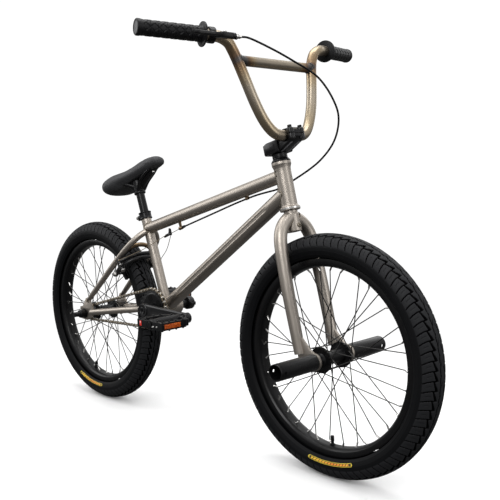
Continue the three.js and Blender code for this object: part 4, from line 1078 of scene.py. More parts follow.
def make_stem():
    """The block on the steerer, its jaw round the bar, the clamp plate, and their bolts."""
    block_side = [(-22, STEM_LOW + 2), (-20, STEM_LOW), (17, STEM_LOW), (19, STEM_LOW + 2)]
    block_side += [(19, BAR_UP - 4), (16, BAR_UP - 1.5), (-12, BAR_UP - 1.5), (-22, BAR_UP - 5)]
    rear = slab(block_side, -23, 23, FOOT, STEER_FORWARD, STEER_UP, edge=2.0)
    reach = [
        (12, STEM_LOW), (16, STEM_LOW), (50, STEM_LOW + 12), (59, STEM_LOW + 21),
        (59, BAR_UP - 0.5), (BAR_N + 11.6, BAR_UP - 0.5),
    ]
    reach += [
        (BAR_N + 11.6 * math.cos(a), BAR_UP + 11.6 * math.sin(a))
        for a in np.linspace(-0.06, -math.pi + 0.06, 24)
    ]
    reach += [(12, BAR_UP - 0.5)]
    front = slab(reach, -19, 19, FOOT, STEER_FORWARD, STEER_UP, edge=1.6)
    top = [(18, BAR_UP + 0.5)]
    top += [
        (BAR_N - 11.6 * math.cos(a), BAR_UP + 11.6 * math.sin(a))
        for a in np.linspace(0.06, math.pi - 0.06, 24)
    ]
    top += [
        (59, BAR_UP + 0.5), (59, BAR_UP + 7), (53, BAR_UP + 13.4), (30, BAR_UP + 13.8),
        (25, BAR_UP + 13.4), (18, BAR_UP + 7),
    ]
    plate = slab(top, -18, 18, FOOT, STEER_FORWARD, STEER_UP, edge=2.0)
    low_ears, ears, heads = [], [], []
    for n in (-15.3, 15.3):
        for y in (-15.5, 15.5):
            drop = 11 if n > 0 else 5
            low = rounded(disc(7.4, 0, drop), 0.9)
            low_ears.append(revolve(low, steer(BAR_UP - 0.5 - drop, BAR_N + n, y), STEER_UP, 36))
            high = rounded([(0.01, 0), (7.4, 0), (7.2, 9), (5.8, 11.0), (0.01, 11.0)], 0.9)
            ears.append(revolve(high, steer(BAR_UP + 0.5, BAR_N + n, y), STEER_UP, 36))
            heads.append(bolt(steer(BAR_UP + 11.3, BAR_N + n, y), STEER_UP, 4.5, 5.8, 0.55))
    twin("stem", join(rear, front, *low_ears), ANODISED, "fork")
    twin("stem_clamp", join(plate, *ears), ANODISED, "fork")
    piece("stem_clamp_bolts", join(*heads), BLACK, "fork")
    slope = unit(34 * STEER_FORWARD + 12 * STEER_UP)
    face = np.cross(slope, LEFT)
    slots, holes = [], []
    for y in (-10.5, 10.5):
        mid = steer(STEM_LOW + 6.0, 33.0, y)
        slots.append(block((33, 5.6, 0.8), mid + face * 0.15, slope, LEFT, edge=0.3))
        for k in (-9, 9):
            # thin dark blocks in the slots: painted shade in their holes
            holes.append(block((6, 2.6, 0.5), mid + face * 0.8 + slope * k, slope, LEFT, edge=0.2))
    piece("stem_slots", join(*slots), MACHINED, "fork")
    piece("stem_slot_hole_shade", join(*holes), PAINTED_SHADE, "fork")
    recess = []
    for side in (-1, 1):
        pocket = [
            (-16, STEM_LOW + 5), (10, STEM_LOW + 5), (10, STEM_LOW + 18), (-16, STEM_LOW + 18),
        ]
        frame_side = -side * 23.0
        recess.append(
            slab(
                pocket, frame_side - 0.35, frame_side + 0.35, FOOT, STEER_FORWARD, STEER_UP,
                edge=0.2, corner=3,
            ),
        )
    piece("stem_side_panels", join(*recess), BLACK, "fork")
    screws = [bolt(steer(STEM_LOW + 7, -22.0, y), -STEER_FORWARD, 4.0, 2.4, 0.6) for y in (-10, 10)]
    screws += [
        bolt(steer(STEM_LOW + 20, -21.8, y), -STEER_FORWARD, 4.0, 2.4, 0.6) for y in (-10, 10)
    ]
    piece("stem_pinch_bolts", join(*screws), BLACK, "fork")


# ---------------------------------------- handlebar
# the left half of the bar's line, from next to its middle out to the grip
BAR_HALF = [
    (310.3, 18, 706.1), (310.3, 30, 706.2), (309.3, 43, 709.2), (306.2, 56.5, 719),
    (301.5, 69.5, 736), (294, 85, 768), (283, 99.5, 812), (272.5, 111, 850), (268, 118, 868),
    (265.5, 128, 883), (262.5, 146, 892),
]
MIRROR = np.array([1, -1, 1])
CROSS = np.array([272, 0, 851.0])
CROSS_HALF = 111.0
GRIP_IN = np.array([252.2, 181, 895.5])
GRIP_OUT = np.array([213.5, 308, 901.6])


def make_bars():
    """The handlebar and crossbar, with the colours of heating next to the welds."""
    left = [np.array(p, float) for p in BAR_HALF] + [
        GRIP_IN + (GRIP_OUT - GRIP_IN) * t for t in (-0.1, 0.05, 0.35, 0.7, 1)
    ]
    points = [p * MIRROR for p in left[::-1]] + [steer(BAR_UP, BAR_N)] + left
    path = smooth_path(points, 360)
    bar = sweep(path, BAR_R, 80, side=STEER_FORWARD)
    spots = []
    for side in (-1, 1):
        weld_at = CROSS + LEFT * side * CROSS_HALF
        spots += [(weld_at + (0, side * 4, 0), 62, 0.58), (weld_at, 24, 1.3)]
        spots += [
            (np.array([304, side * 66, 724]), 60, 0.20),
            (np.array([265, side * 128, 880]), 46, 0.26),
        ]
    twin("handlebar", bar, BAR_STEEL, "fork", warm=warmth(bar, spots))
    k = int(np.argmin(np.linalg.norm(path - (CROSS + LEFT * (CROSS_HALF + 1)), axis=1)))
    axis = unit(path[k + 3] - path[k - 3])
    low_end, high_end = (path[k] * MIRROR, axis * MIRROR, BAR_R), (path[k], axis, BAR_R)
    tube, ring_a, ring_b = mitred(
        CROSS - LEFT * 105, CROSS + LEFT * 105, 10.0, low_end, high_end, 80
    )
    spots = [(CROSS + LEFT * s * 107 - (0, 0, 6), 48, 1.25) for s in (-1, 1)]
    twin("crossbar", tube, BAR_STEEL, "fork", warm=warmth(tube, spots))
    beads = join(bead(ring_a, CROSS, 1.9, 34), bead(ring_b, CROSS, 1.9, 34))
    piece("crossbar_welds", beads, WELD, "fork", warm=np.full(len(beads[0]), 0.85))


def groove_line(value, width):
    """1 in the middle of each groove and 0 away from it, for grooves one apart in value."""
    f = np.abs((value % 1.0) - 0.5) * 2
    return np.clip((f - (1 - width)) / (width * 0.35), 0, 1)


def make_grip(side, word):
    """A flanged grip with a pattern of triangles, its plug and the plug's cap."""
    inner, outer = GRIP_IN * (1, side, 1), GRIP_OUT * (1, side, 1)
    length = np.linalg.norm(outer - inner)
    x, y, d = basis(outer - inner)
    around = 180
    flange = [0, 0.3, 1.0, 2.6, 3.3, 3.6, 3.8, 5.0, 6.5]
    tail = [length - 3, length - 1.5, length]
    stations = np.concatenate([flange, np.linspace(8, length - 4, 190), tail])
    radius = np.interp(
        stations,
        [*flange, 8, length - 5, length - 3, length],
        [22.6, 23.2, 23.5, 23.5, 23.2, 22.6, 17, 15.4, 15.0, 14.9, 14.8, 15.5, 15.5],
    )
    a = np.linspace(0, 2 * math.pi, around, endpoint=False)
    s, ang = np.meshgrid(stations, a, indexing="ij")
    # three families of grooves cross and leave triangles, raised and low by turns
    first, cell, columns = 10, 17.0, 6
    u = ang / (2 * math.pi) * columns
    v = (s - first) / cell
    cuts = np.maximum.reduce(
        [groove_line(v, 0.10), groove_line(u + v, 0.13), groove_line(u - v, 0.13)],
    )
    band = np.clip((s - first) / 1.5, 0, 1) * np.clip((length - 8 - s) / 1.5, 0, 1)
    raised = (np.floor(u + v) + np.floor(u - v)) % 2
    r = radius[:, None] - band * (0.9 * cuts + 0.55 * raised)
    rings = inner + s[..., None] * d + r[..., None] * (
        np.cos(ang)[..., None] * x + np.sin(ang)[..., None] * y
    )
    uv = np.stack([ang * 9, s], -1)
    shape = capped(grid(rings, uv=uv), len(stations), around)
    twin(f"grip_{word}", shape, GRIP, "fork", sharp=40)
    plug = [
        (0.01, -1), (15.4, -1), (15.5, 0.4), (15.3, 2.6), (14.2, 3.8), (12.2, 4.2), (11.6, 3.0),
        (4.6, 2.8), (4.0, 3.4), (0.01, 3.6),
    ]
    piece(f"grip_plug_{word}", turned(plug, 0.4, outer, d, 64), GRIP, "fork")
    cap = [(0.01, 2.7), (11.2, 2.7), (10.8, 3.1), (5.2, 3.4), (0.01, 3.7)]
    piece(f"grip_cap_{word}", revolve(cap, outer, d, 48), CAP_GREY, "fork")


# ---------------------------------------- brake lever
# the lever's own directions, and the point on the bar's axis where it sits, as in the CAD
INBOARD = np.array([0.289721, 0.9560063, -0.0459759])
LEVER_FORWARD = np.array([0.9470159, -0.2932926, -0.130921])
LEVER_UP = np.array([0.1386457, 0.0056093, 0.9903262])
LEVER_ORIGIN = np.array([256.5458, -166.6599, 894.8104])


def at_lever(x, y, z):
    """A point given from the bar's axis at the lever: forwards, inboard, up."""
    return LEVER_ORIGIN + x * LEVER_FORWARD + y * INBOARD + z * LEVER_UP


def lever_slab(outline, z0, z1, edge, corner=0.0):
    return slab(outline, z0, z1, LEVER_ORIGIN, LEVER_FORWARD, INBOARD, edge, corner)


def make_lever():
    """The lever's bracket on the bar, the blade, and the screws and cable adjuster."""
    collar = turned(
        [(11.5, -6), (15, -6), (15.4, -4), (15.4, 5), (15, 7), (11.5, 7)], 0.6, LEVER_ORIGIN,
        INBOARD, 56,
    )
    lug = block((9, 10, 10), at_lever(-16.5, 0.5, -3), LEVER_FORWARD, INBOARD, edge=1.5)
    web = lever_slab(
        [(10, -6), (30, 2), (44, 4), (44, 30), (20, 30), (12, 7)], -5.4, 5.4, edge=1.6, corner=3
    )
    barrel = turned(
        [(0.01, 22), (5.6, 22), (6.0, 24), (6.0, 40), (4.6, 42), (0.01, 42)], 0.6,
        at_lever(34, 0, 0), INBOARD, 36,
    )
    twin("lever_bracket", join(collar, lug, web, barrel), BLACK, "fork")
    screw = bolt(at_lever(-17, 0.5, -8.2), -LEVER_UP, 3.6, 3.2)
    pivot = bolt(at_lever(36, 14, 5.5), LEVER_UP, 3.6, 1.8)
    tip = [
        (0.01, 36.9), (6.1, 37), (6.3, 37.6), (6.3, 40), (5.2, 41), (4.3, 42), (4.3, 43.2),
        (3.2, 43.8), (4.3, 44.4), (4.3, 46.2), (3.2, 46.8), (3.2, 49), (0.01, 49),
    ]
    adjuster = turned(tip, 0.2, at_lever(34, 0, 0), INBOARD, 32)
    piece("lever_fittings", join(screw, pivot, adjuster), BRIGHT, "fork")
    outline = [
        (31.5, 20), (41, 20), (42.5, 10), (40.4, -8), (40.2, -30), (41.5, -44), (45.2, -55),
        (43.4, -58), (40.5, -57), (36.2, -46), (35.0, -30), (34.6, -8), (31.4, 6),
    ]
    root = lever_slab(rounded(outline, 4.0, 5), -3.6, 3.6, edge=1.3)
    blade_path = [
        at_lever(37.6, -4, 0), at_lever(37.4, -24, 0), at_lever(38.2, -40, 0),
        at_lever(42.5, -54, 0),
    ]
    blade = sweep(
        smooth_path(blade_path, 50),
        np.interp(np.linspace(0, 1, 50), [0, 0.1, 0.9, 1], [3.0, 4.4, 4.2, 3.2]), 24, squash=0.72,
        side=LEVER_FORWARD,
    )
    twin("brake_lever", join(root, blade), BLACK, "lever")


# ---------------------------------------- brake cable
# from the lever's adjuster, round in front of the bars, to the start of the rear run
FRONT_CABLE = [
    (303.03, -129.5, 888.09), (307.1, -116.1, 887.4), (331, -78, 868), (346, -32, 847),
    (371, 14, 816), (385, 45, 773), (387, 60, 739), (374, 64, 695), (344, 55, 655), (293, 33, 617),
    (254, 22, 597), (232, 13, 591),
]
REAR_CABLE = [
    (231.6, 12.85, 590.9), (206, 5, 584.5), (150, 0.5, 568), (60, 0, 539.5), (-44.5, 0, 506.6),
]


def make_cables():
    """The front run is taken off the fork and left fixed in place. The rear run stays still."""
    front = sweep(smooth_path(FRONT_CABLE, 220), 2.05, 20, side=(0.3, 0.2, 0.9))
    cable = piece("brake_cable_front", front, HOUSING, "fork")
    cable.parent = None
    cable.matrix_world = Matrix.Identity(4)
    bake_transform(cable)
    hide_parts("brake_cable_front")
    rear = sweep(smooth_path(REAR_CABLE, 100), 2.05, 20)
    ferrule = turned(disc(3.3, 0, 9), 0.5, CABLE_STOP + STOP_ALONG * 6.3, STOP_ALONG, 28)
    twin("brake_cable_rear", join(rear, ferrule), HOUSING, "frame")


# ---------------------------------------- wheels
LUGS = 84
SPOKES = 18  # on each side of a wheel
TREAD_LENGTH = 1602  # round the middle of the tread
SECTION_R = 226  # from the axle to the middle of the tyre's section


def make_tyre(centre, name, body):
    """A tyre whose tread is cut by angle round the wheel and by angle over the section."""
    # theta runs round the wheel. av, and deg in degrees, run over the section from its middle
    around = 1680
    across = 140
    reach = math.radians(130)
    a = np.linspace(-reach, reach, across)
    theta = np.linspace(0, 2 * math.pi, around, endpoint=False)
    th, av = np.meshgrid(theta, a, indexing="ij")
    pitch = TREAD_LENGTH / LUGS
    turn = th / (2 * math.pi) * LUGS + 0.5 * (av > 0)
    deg = np.degrees(np.abs(av))

    def groove(distance, width):
        # 1 inside a groove and 0 outside it, easing over half a millimetre
        return np.clip((width - distance) / 0.55 + 0.5, 0, 1)

    def to_line(value):
        # distance from the nearest whole number of lugs
        return np.abs(((value + 0.5) % 1.0) - 0.5) * pitch

    # the tread: a sawtooth of wedges, side lugs with small cuts, a centre band, a line by the rim
    step = turn % 1.0
    tooth = 27 + 13 * step
    wedge = groove(np.abs(deg - tooth) * 0.5, 1.0 + 1.7 * (1 - step))
    wall = groove(to_line(turn), 1.3) * (deg > 26) * (deg < 41)
    bend = 0.30 * np.clip((deg - 34) / 44, 0, 1) ** 2
    lugs = groove(to_line(turn + bend - 0.02), 1.15) * (deg > 38) * (deg < 81)
    sipes = groove(to_line(turn + 0.45 + bend), 0.4) * (deg > 46) * (deg < 66)
    band = groove(np.abs(deg - (11 + 3 * np.abs(step - 0.5))) * 0.5, 1.1)
    middle = groove(to_line(turn * 0.5 + deg / 30), 1.0) * (deg < 12)
    rim_line = groove(np.abs(deg - 82) * 0.5, 0.35)
    cut = np.maximum.reduce([wedge, wall, lugs, sipes * 0.7, band, middle, rim_line * 0.8])
    ridge = np.exp(-(((deg - 98) / 1.3) ** 2)) * 0.4 + np.exp(-(((deg - 116) / 1.6) ** 2)) * 0.5
    depth = -1.6 * cut - 0.35 * np.clip((deg - 81) / 3, 0, 1) + ridge
    r = SECTION_R + (29.0 + depth) * np.cos(av)
    y = (30.2 + depth) * np.sin(av)
    rings = np.stack([centre[0] + r * np.cos(th), y, centre[2] + r * np.sin(th)], -1)
    uv = np.stack([th * 40, av * 30], -1)
    shape = grid(rings, close_u=False, close_v=True, uv=uv)
    inner = [
        (206, 15.0), (207, 13), (222, 22), (240, 17), (248, 0), (240, -17), (222, -22), (207, -13),
        (206, -15.0),
    ]
    inside = revolve(inner, centre, (0, 1, 0), 96, closed=False)
    full = join(shape, inside)
    # where the grooves lie: the rubber paints shade there
    groove_shade_values = np.concatenate([cut.ravel(), np.zeros(len(inside[0]))])
    tread = np.concatenate([(deg < 81.5).astype(float).ravel(), np.zeros(len(inside[0]))])
    tyre = twin(name, full, TYRE, body, sharp=180, warm=tread, groove=groove_shade_values)
    corner = np.zeros(len(tyre.data.loops), np.int32)
    tyre.data.loops.foreach_get("vertex_index", corner)
    first = np.zeros(len(tyre.data.polygons), np.int32)
    tyre.data.polygons.foreach_get("loop_start", first)
    count = np.zeros(len(first), np.int32)
    tyre.data.polygons.foreach_get("loop_total", count)
    # faces that lie mostly in a groove get the material of painted shade, darker and without shine
    low = np.add.reduceat(groove_shade_values[corner], first) / count > 0.5
    tyre.data.materials.append(TYRE_GROOVE_SHADE)
    tyre.data.polygons.foreach_set("material_index", low.astype(np.int32))


def make_patch(centre, name, body, middle, half_span, tilt):
    """The coloured patch on the right sidewall: a thin curved strip with round ends."""
    cols, rows = 72, 14
    rings, uvs = [], []
    for ti in np.linspace(-1, 1, cols):
        w = 1.0
        if abs(ti) >= 0.93:
            w = math.sqrt(max(0.0, 1 - ((abs(ti) - 0.93) / 0.07) ** 2)) * 0.999 + 0.001
        row, uvr = [], []
        for k in range(rows):
            q = (k / (rows - 1) * 2 - 1) * w
            section = math.radians(tilt - 7.4 * q)
            ang = math.radians(middle + half_span * ti)
            r = SECTION_R + 29.25 * math.cos(section)
            y = -30.3 * math.sin(section)
            row.append((centre[0] + r * math.cos(ang), y, centre[2] + r * math.sin(ang)))
            uvr.append(((ti + 1) / 2, (q + 1) / 2))
        rings.append(row)
        uvs.append(uvr)
    shape = grid(np.array(rings), close_u=False, uv=np.array(uvs))
    piece(name, shape, PATCH, body, outward=False)


def make_rim(centre, name, body, valve_angle):
    """A rim, open towards the tyre, and its valve."""
    w = 18.5  # half the rim's width
    profile = [
        (205, -w), (198, -w), (194, -w + 0.6), (190.5, -14.5), (188.3, -10), (187.7, -6),
        (187.7, 6), (188.3, 10), (190.5, 14.5), (194, w - 0.6), (198, w), (205, w), (205, w - 2.2),
        (199, w - 2.4), (191.5, 10), (191, 0), (191.5, -10), (199, 2.4 - w), (205, 2.2 - w),
    ]
    rim = revolve(rounded(profile, 0.6, 2), centre, LEFT, 220)
    twin(name, rim, BLACK, body)
    stem = revolve(
        [(0.01, -2), (3.1, -2), (3.1, 7), (3.5, 8), (3.9, 9), (3.9, 18), (3.2, 20.5), (0.01, 21)],
        spot(centre, 188, valve_angle), inward(valve_angle), 28,
    )
    nut = turned(disc(5.6, 0, 2.6), 0.4, spot(centre, 187.6, valve_angle), inward(valve_angle), 6)
    piece(f"{name}_valve", join(stem, nut), PLASTIC, body)


def spot(centre, r, degrees, y=0.0):
    """The point at an angle round a wheel."""
    a = math.radians(degrees)
    return centre + np.array([r * math.cos(a), y, r * math.sin(a)])


def inward(degrees):
    """The direction from an angle round a wheel towards its axle."""
    a = math.radians(degrees)
    return np.array([-math.cos(a), 0, -math.sin(a)])


def make_spokes(centre, flange_y, turn, name, body):
    """One side's crossed spokes, each from its elbow in the flange to its nipple in the rim."""
    wires, nipples = [], []
    step, crossing = 360 / SPOKES, 60  # degrees
    sign = math.copysign(1, flange_y)
    for i in range(SPOKES):
        way = -1 if i % 2 else 1
        hub_angle = i * step + turn
        rim_angle = hub_angle + way * crossing
        outside = 2.2 * way * sign
        hole = spot(centre, 25, hub_angle, flange_y)
        elbow = hole + LEFT * outside
        rim_y = flange_y * 0.06
        end = spot(centre, 179.0, hub_angle + way * 58.2, rim_y + flange_y * 0.05)
        bend = elbow + unit(end - elbow) * 4
        path = smooth_path(
            [hole - LEFT * outside * 1.2, hole, elbow, bend, elbow + (end - elbow) * 0.5, end], 26
        )
        wires.append(sweep(path, 1.1, 8, side=(0.13, 0.11, 0.98)))
        head = hole - LEFT * outside * 1.3
        wires.append(revolve([(0.01, -0.6), (1.9, -0.5), (1.9, 0.4), (0.01, 0.7)], head, LEFT, 12))
        far = spot(centre, 188.2, rim_angle, rim_y)
        away = unit(far - end)
        length = np.linalg.norm(far - end)
        nipples.append(
            revolve(
                [(0.01, 0), (1.6, 0), (1.9, 1), (1.9, length - 1), (2.4, length), (0.01, length)],
                end, away, 12,
            ),
        )
    twin(name, join(*wires), SPOKE, body)
    piece(f"{name}_nipples", join(*nipples), BRIGHT, body)


def make_hub(centre, ends, flanges, name, body):
    """A hub shell between its two ends, with a flange for each side's spokes."""
    fr, fl = flanges
    profile = [
        (7.4, ends[0]), (10.6, ends[0]), (11, ends[0] + 0.6), (11.4, fr - 8), (13, fr - 5),
        (15, fr - 2.4), (22, fr - 1.7), (27.2, fr - 1.5), (27.5, fr), (27.2, fr + 1.5),
        (22, fr + 1.7), (16, fr + 3), (14.2, fr + 8), (13.8, 0), (14.2, fl - 8), (16, fl - 3),
        (22, fl - 1.7), (27.2, fl - 1.5), (27.5, fl), (27.2, fl + 1.5), (22, fl + 1.7),
        (15, fl + 2.4), (13, fl + 5), (11.4, fl + 8), (11, ends[1] - 0.6), (10.6, ends[1]),
        (7.4, ends[1]),
    ]
    twin(name, revolve(profile, centre, LEFT, 96), BLACK, body)
    section = rounded(ring(9.4, 11.25, 0, 2.4), 0.3)
    rings = [revolve(section, centre + LEFT * y, LEFT, 48) for y in (ends[1] - 5, ends[0] + 3)]
    piece(f"{name}_rings", join(*rings), BRIGHT, body)


def make_wheels():
    make_tyre(FRONT, "front_tyre", "front_wheel")
    make_tyre(REAR, "rear_tyre", "rear_wheel")
    make_patch(FRONT, "front_tyre_patch", "front_wheel", -84.5, 15.2, 107)
    make_patch(REAR, "rear_tyre_patch", "rear_wheel", -100.6, 15.2, 110)
    make_rim(FRONT, "front_rim", "front_wheel", -88.5)
    make_rim(REAR, "rear_rim", "rear_wheel", -107)
    make_spokes(FRONT, -32, 0, "front_spokes_right", "front_wheel")
    make_spokes(FRONT, 32, 10, "front_spokes_left", "front_wheel")
    make_spokes(REAR, -27, 0, "rear_spokes_right", "rear_wheel")
    make_spokes(REAR, 34, 10, "rear_spokes_left", "rear_wheel")
    make_hub(FRONT, (-49.5, 49.5), (-32, 32), "front_hub", "front_wheel")
    make_hub(REAR, (-36, 54.5), (-27, 34), "rear_hub", "rear_wheel")


# ---------------------------------------- axles and pegs
def threaded(a, b, radius):
    """A rod with thread-like ridges."""
    pitch = 1.4
    a, b = np.asarray(a, float), np.asarray(b, float)
    length = np.linalg.norm(b - a)
    h = np.linspace(0, length, int(length / pitch * 6))
    r = radius - 0.35 * (1 - np.abs((h / pitch % 1) - 0.5) * 2)
    r[0] = r[-1] = radius - 0.9
    prof = np.stack([np.concatenate([[0.01], r, [0.01]]), np.concatenate([[0], h, [length]])], 1)
    return revolve(prof, a, b - a, 32)


def drill(obj, shape):
    """Cut a shape out of a piece with an exact boolean, and keep the result."""
    mesh = bpy.data.meshes.new("drill")
    mesh.from_pydata([tuple(p) for p in shape[0] * MM], [], [tuple(f) for f in shape[1]])
    tool = bpy.data.objects.new("drill", mesh)
    scene.collection.objects.link(tool)
    cut = obj.modifiers.new("drill", "BOOLEAN")
    cut.operation = "DIFFERENCE"
    cut.object = tool
    cut.solver = "EXACT"
    cut.use_self = True
    bpy.context.view_layer.update()
    made = bpy.data.meshes.new_from_object(obj.evaluated_get(bpy.context.evaluated_depsgraph_get()))
    obj.modifiers.remove(cut)
    obj.data = made
    bpy.data.objects.remove(tool)


def make_axles():
    """Both axles with their nuts, and the pegs on the front one."""
    ends = [threaded(FRONT + LEFT * s * 60, FRONT + LEFT * s * 77, 5) for s in (-1, 1)]
    mid = straight(FRONT - LEFT * 61, FRONT + LEFT * 61, 4.9, 24)
    nuts = [hexagon(FRONT + LEFT * s * 62.5, LEFT * s, 15.4, 8.5) for s in (-1, 1)]
    twin("front_axle", join(*ends, mid, *nuts), BRIGHT, "fork")
    for side, word in ((-1, "right"), (1, "left")):
        profile = [(5.4, 57), (16.6, 57), (17.5, 58), (17.5, 166.4), (16.9, 168), (15.4, 168)]
        profile += [(15, 167.4), (15, 62.5), (14.6, 62), (5.4, 62)]
        peg = twin(
            f"peg_{word}", revolve(rounded(profile, 0.4, 2), FRONT, LEFT * side, 128), BLACK, "fork"
        )
        ahead = np.array([1.0, 0, 0])
        place = FRONT + LEFT * side * 155
        through = straight(place - ahead * 30, place + ahead * 30, 3.3, 32)
        place = FRONT + LEFT * side * 112
        screw = straight(place - ahead * 30, place - ahead * 10, 1.7, 24)
        drill(peg, join(through, screw))
    rod = join(
        threaded(REAR - LEFT * 96, REAR - LEFT * 58, 7),
        straight(REAR - LEFT * 59, REAR + LEFT * 58, 6.9, 32),
        threaded(REAR + LEFT * 57, REAR + LEFT * 82, 7),
    )
    twin("rear_axle", rod, ANODISED, "frame")
    for side, word, length in ((-1, "right", 19), (1, "left", 12)):
        base = REAR + LEFT * side * 61.7
        washer = turned(ring(7.3, 14, 0, 2.6), 0.4, base, LEFT * side, 48)
        ribs = turned(
            [(7.3, 2.6), (10.8, 2.6), (11.2, 4), (11.2, length - 3), (9.6, length), (7.3, length)],
            0.6, base, LEFT * side, 48,
        )
        nut = hexagon(base + LEFT * side * 2.6, LEFT * side, 19.2, length * 0.62)
        twin(f"rear_axle_nut_{word}", join(washer, ribs, nut), BLACK, "frame")


# ---------------------------------------- drivetrain
PITCH = 12.7
LINKS = 65
SPROCKET_TEETH, COG_TEETH = 25, 9
SPROCKET_R = PITCH * SPROCKET_TEETH / (2 * math.pi)
COG_R = PITCH * COG_TEETH / (2 * math.pi)
CHAIN_Y = -45.0
CRANK_REACH, PEDAL_Y = 160.0, 136.0
# the straight runs of the chain touch both pitch circles at these angles
CENTRES = float(np.linalg.norm(BB - REAR))
LINE = math.atan2(BB[2] - REAR[2], BB[0] - REAR[0])
LEAN = math.asin((SPROCKET_R - COG_R) / CENTRES)
TOP_NORMAL = LINE + LEAN + math.pi / 2
LOW_NORMAL = LINE - LEAN - math.pi / 2
RUN = math.sqrt(CENTRES**2 - (SPROCKET_R - COG_R) ** 2)
WRAP = TOP_NORMAL - LOW_NORMAL


def on_chain(s):
    """The point on the chain's pitch line at a distance along it, as (x, z)."""
    s = s % (LINKS * PITCH)
    if s < WRAP * SPROCKET_R:
        a = TOP_NORMAL - s / SPROCKET_R
        return np.array([BB[0] + SPROCKET_R * math.cos(a), BB[2] + SPROCKET_R * math.sin(a)])
    s -= WRAP * SPROCKET_R
    if s < RUN:
        p = np.array(
            [BB[0] + SPROCKET_R * math.cos(LOW_NORMAL), BB[2] + SPROCKET_R * math.sin(LOW_NORMAL)],
        )
        return p - s * np.array([math.cos(LINE - LEAN), math.sin(LINE - LEAN)])
    s -= RUN
    if s < (2 * math.pi - WRAP) * COG_R:
        a = LOW_NORMAL - s / COG_R
        return np.array([REAR[0] + COG_R * math.cos(a), REAR[2] + COG_R * math.sin(a)])
    s -= (2 * math.pi - WRAP) * COG_R
    p = np.array([REAR[0] + COG_R * math.cos(TOP_NORMAL), REAR[2] + COG_R * math.sin(TOP_NORMAL)])
    return p + s * np.array([math.cos(LINE + LEAN), math.sin(LINE + LEAN)])


def link_outline(length, r, waist):
    """A waisted side plate, as (across, along)."""
    sweep_angles = np.linspace(math.pi * 0.62, math.pi * 1.38, 10)
    near = [(r * math.sin(a), r * math.cos(a)) for a in sweep_angles]
    back_angles = np.linspace(math.pi * 1.38, math.pi * 0.62, 10)
    far = [(r * math.sin(a), length - r * math.cos(a)) for a in back_angles]
    return near + [(-waist, length / 2)] + far + [(waist, length / 2)]


def make_chain():
    """Outer and inner links by turns, with a roller and a pin at each pitch."""
    pins = [on_chain(i * PITCH + PITCH / 2) for i in range(LINKS)]
    plates, rollers = [], []
    for i in range(LINKS):
        a, b = pins[i], pins[(i + 1) % LINKS]
        origin = np.array([a[0], CHAIN_Y, a[1]])
        x = unit(np.array([b[0] - a[0], 0, b[1] - a[1]]))
        z = np.cross(x, LEFT)
        length = float(np.linalg.norm(b - a))
        outer = i % 2 == 0
        inner_face = 3.0 if outer else 1.9
        outline = link_outline(length, 3.9 if outer else 3.75, 2.5)
        for side in (-1, 1):
            low, high = sorted((side * inner_face, side * (inner_face + 0.9)))
            plates.append(slab(outline, low, high, origin, z, x, edge=0.25))
        rollers.append(
            revolve(
                [(0.01, -1.8), (3.5, -1.8), (3.8, -1.4), (3.8, 1.4), (3.5, 1.8), (0.01, 1.8)],
                origin, LEFT, 14,
            ),
        )
        rollers.append(
            revolve(
                [(0.01, -4.2), (1.6, -4.2), (1.9, -3.9), (1.9, 3.9), (1.6, 4.2), (0.01, 4.2)],
                origin, LEFT, 10,
            ),
        )
    twin("chain", join(*plates), CHAIN, "frame", sharp=40)
    piece("chain_rollers", join(*rollers), BRIGHT, "frame")


def toothed(teeth, radius, start):
    """The outline of a chain wheel, as (z, x), with its first gap at the angle start."""
    points = []
    step = 2 * math.pi / teeth
    for i in range(teeth):
        a = start + i * step
        e = np.array([math.cos(a), math.sin(a)])
        f = np.array([-math.sin(a), math.cos(a)])
        gap = [(2.9, -5.45), (1.4, -4.9)]
        gap += [
            (3.95 * math.cos(t), 3.95 * math.sin(t))
            for t in np.linspace(-math.pi * 0.52, -math.pi * 1.48, 9)
        ]
        gap += [(1.4, 4.9), (2.9, 5.45)]
        for out, across in gap:
            points.append((e * (radius + out) + f * across)[::-1])
    return points


def make_sprockets():
    """The sprocket with its windows as discs of painted shade, and the small cog, both in step with
    the chain.
    """
    start = TOP_NORMAL - PITCH / 2 / SPROCKET_R
    outline = toothed(SPROCKET_TEETH, SPROCKET_R, start)
    plate = slab(outline, -1.5, 1.5, BB + LEFT * CHAIN_Y, (0, 0, 1), (1, 0, 0), edge=0.45)
    raised = turned(
        [(16, -2.4), (38, -2.4), (40.5, -1.4), (40.5, 1.4), (38, 2.4), (16, 2.4)], 0.6,
        BB + LEFT * CHAIN_Y, LEFT, 96,
    )
    twin("sprocket", join(plate, raised), BLACK, "cranks")
    # dark discs on both faces: painted shade in the sprocket's windows
    windows = []
    for k in range(5):
        a = 2 * math.pi * (k + 0.5) / 5
        for s in (-1, 1):
            place = BB + LEFT * (CHAIN_Y + s * 2.42) + np.array(
                [28 * math.cos(a), 0, 28 * math.sin(a)],
            )
            windows.append(revolve(disc(8.4, 0, 0.2), place, LEFT * s, 36))
    piece("sprocket_window_shade", join(*windows), PAINTED_SHADE, "cranks")
    first = WRAP * SPROCKET_R + RUN
    index = math.ceil((first - PITCH / 2) / PITCH)
    start = LOW_NORMAL - (index * PITCH + PITCH / 2 - first) / COG_R
    cog = slab(
        toothed(COG_TEETH, COG_R, start), -1.5, 1.5, REAR + LEFT * CHAIN_Y, (0, 0, 1), (1, 0, 0),
        edge=0.45,
    )
    body = turned(
        [(7.4, -54.7), (10, -54.7), (10.5, -54), (11.5, -46), (11.5, -37), (7.4, -37)], 0.4, REAR,
        LEFT, 56,
    )
    twin("driver_cog", join(cog, body), BRIGHT, "driver")


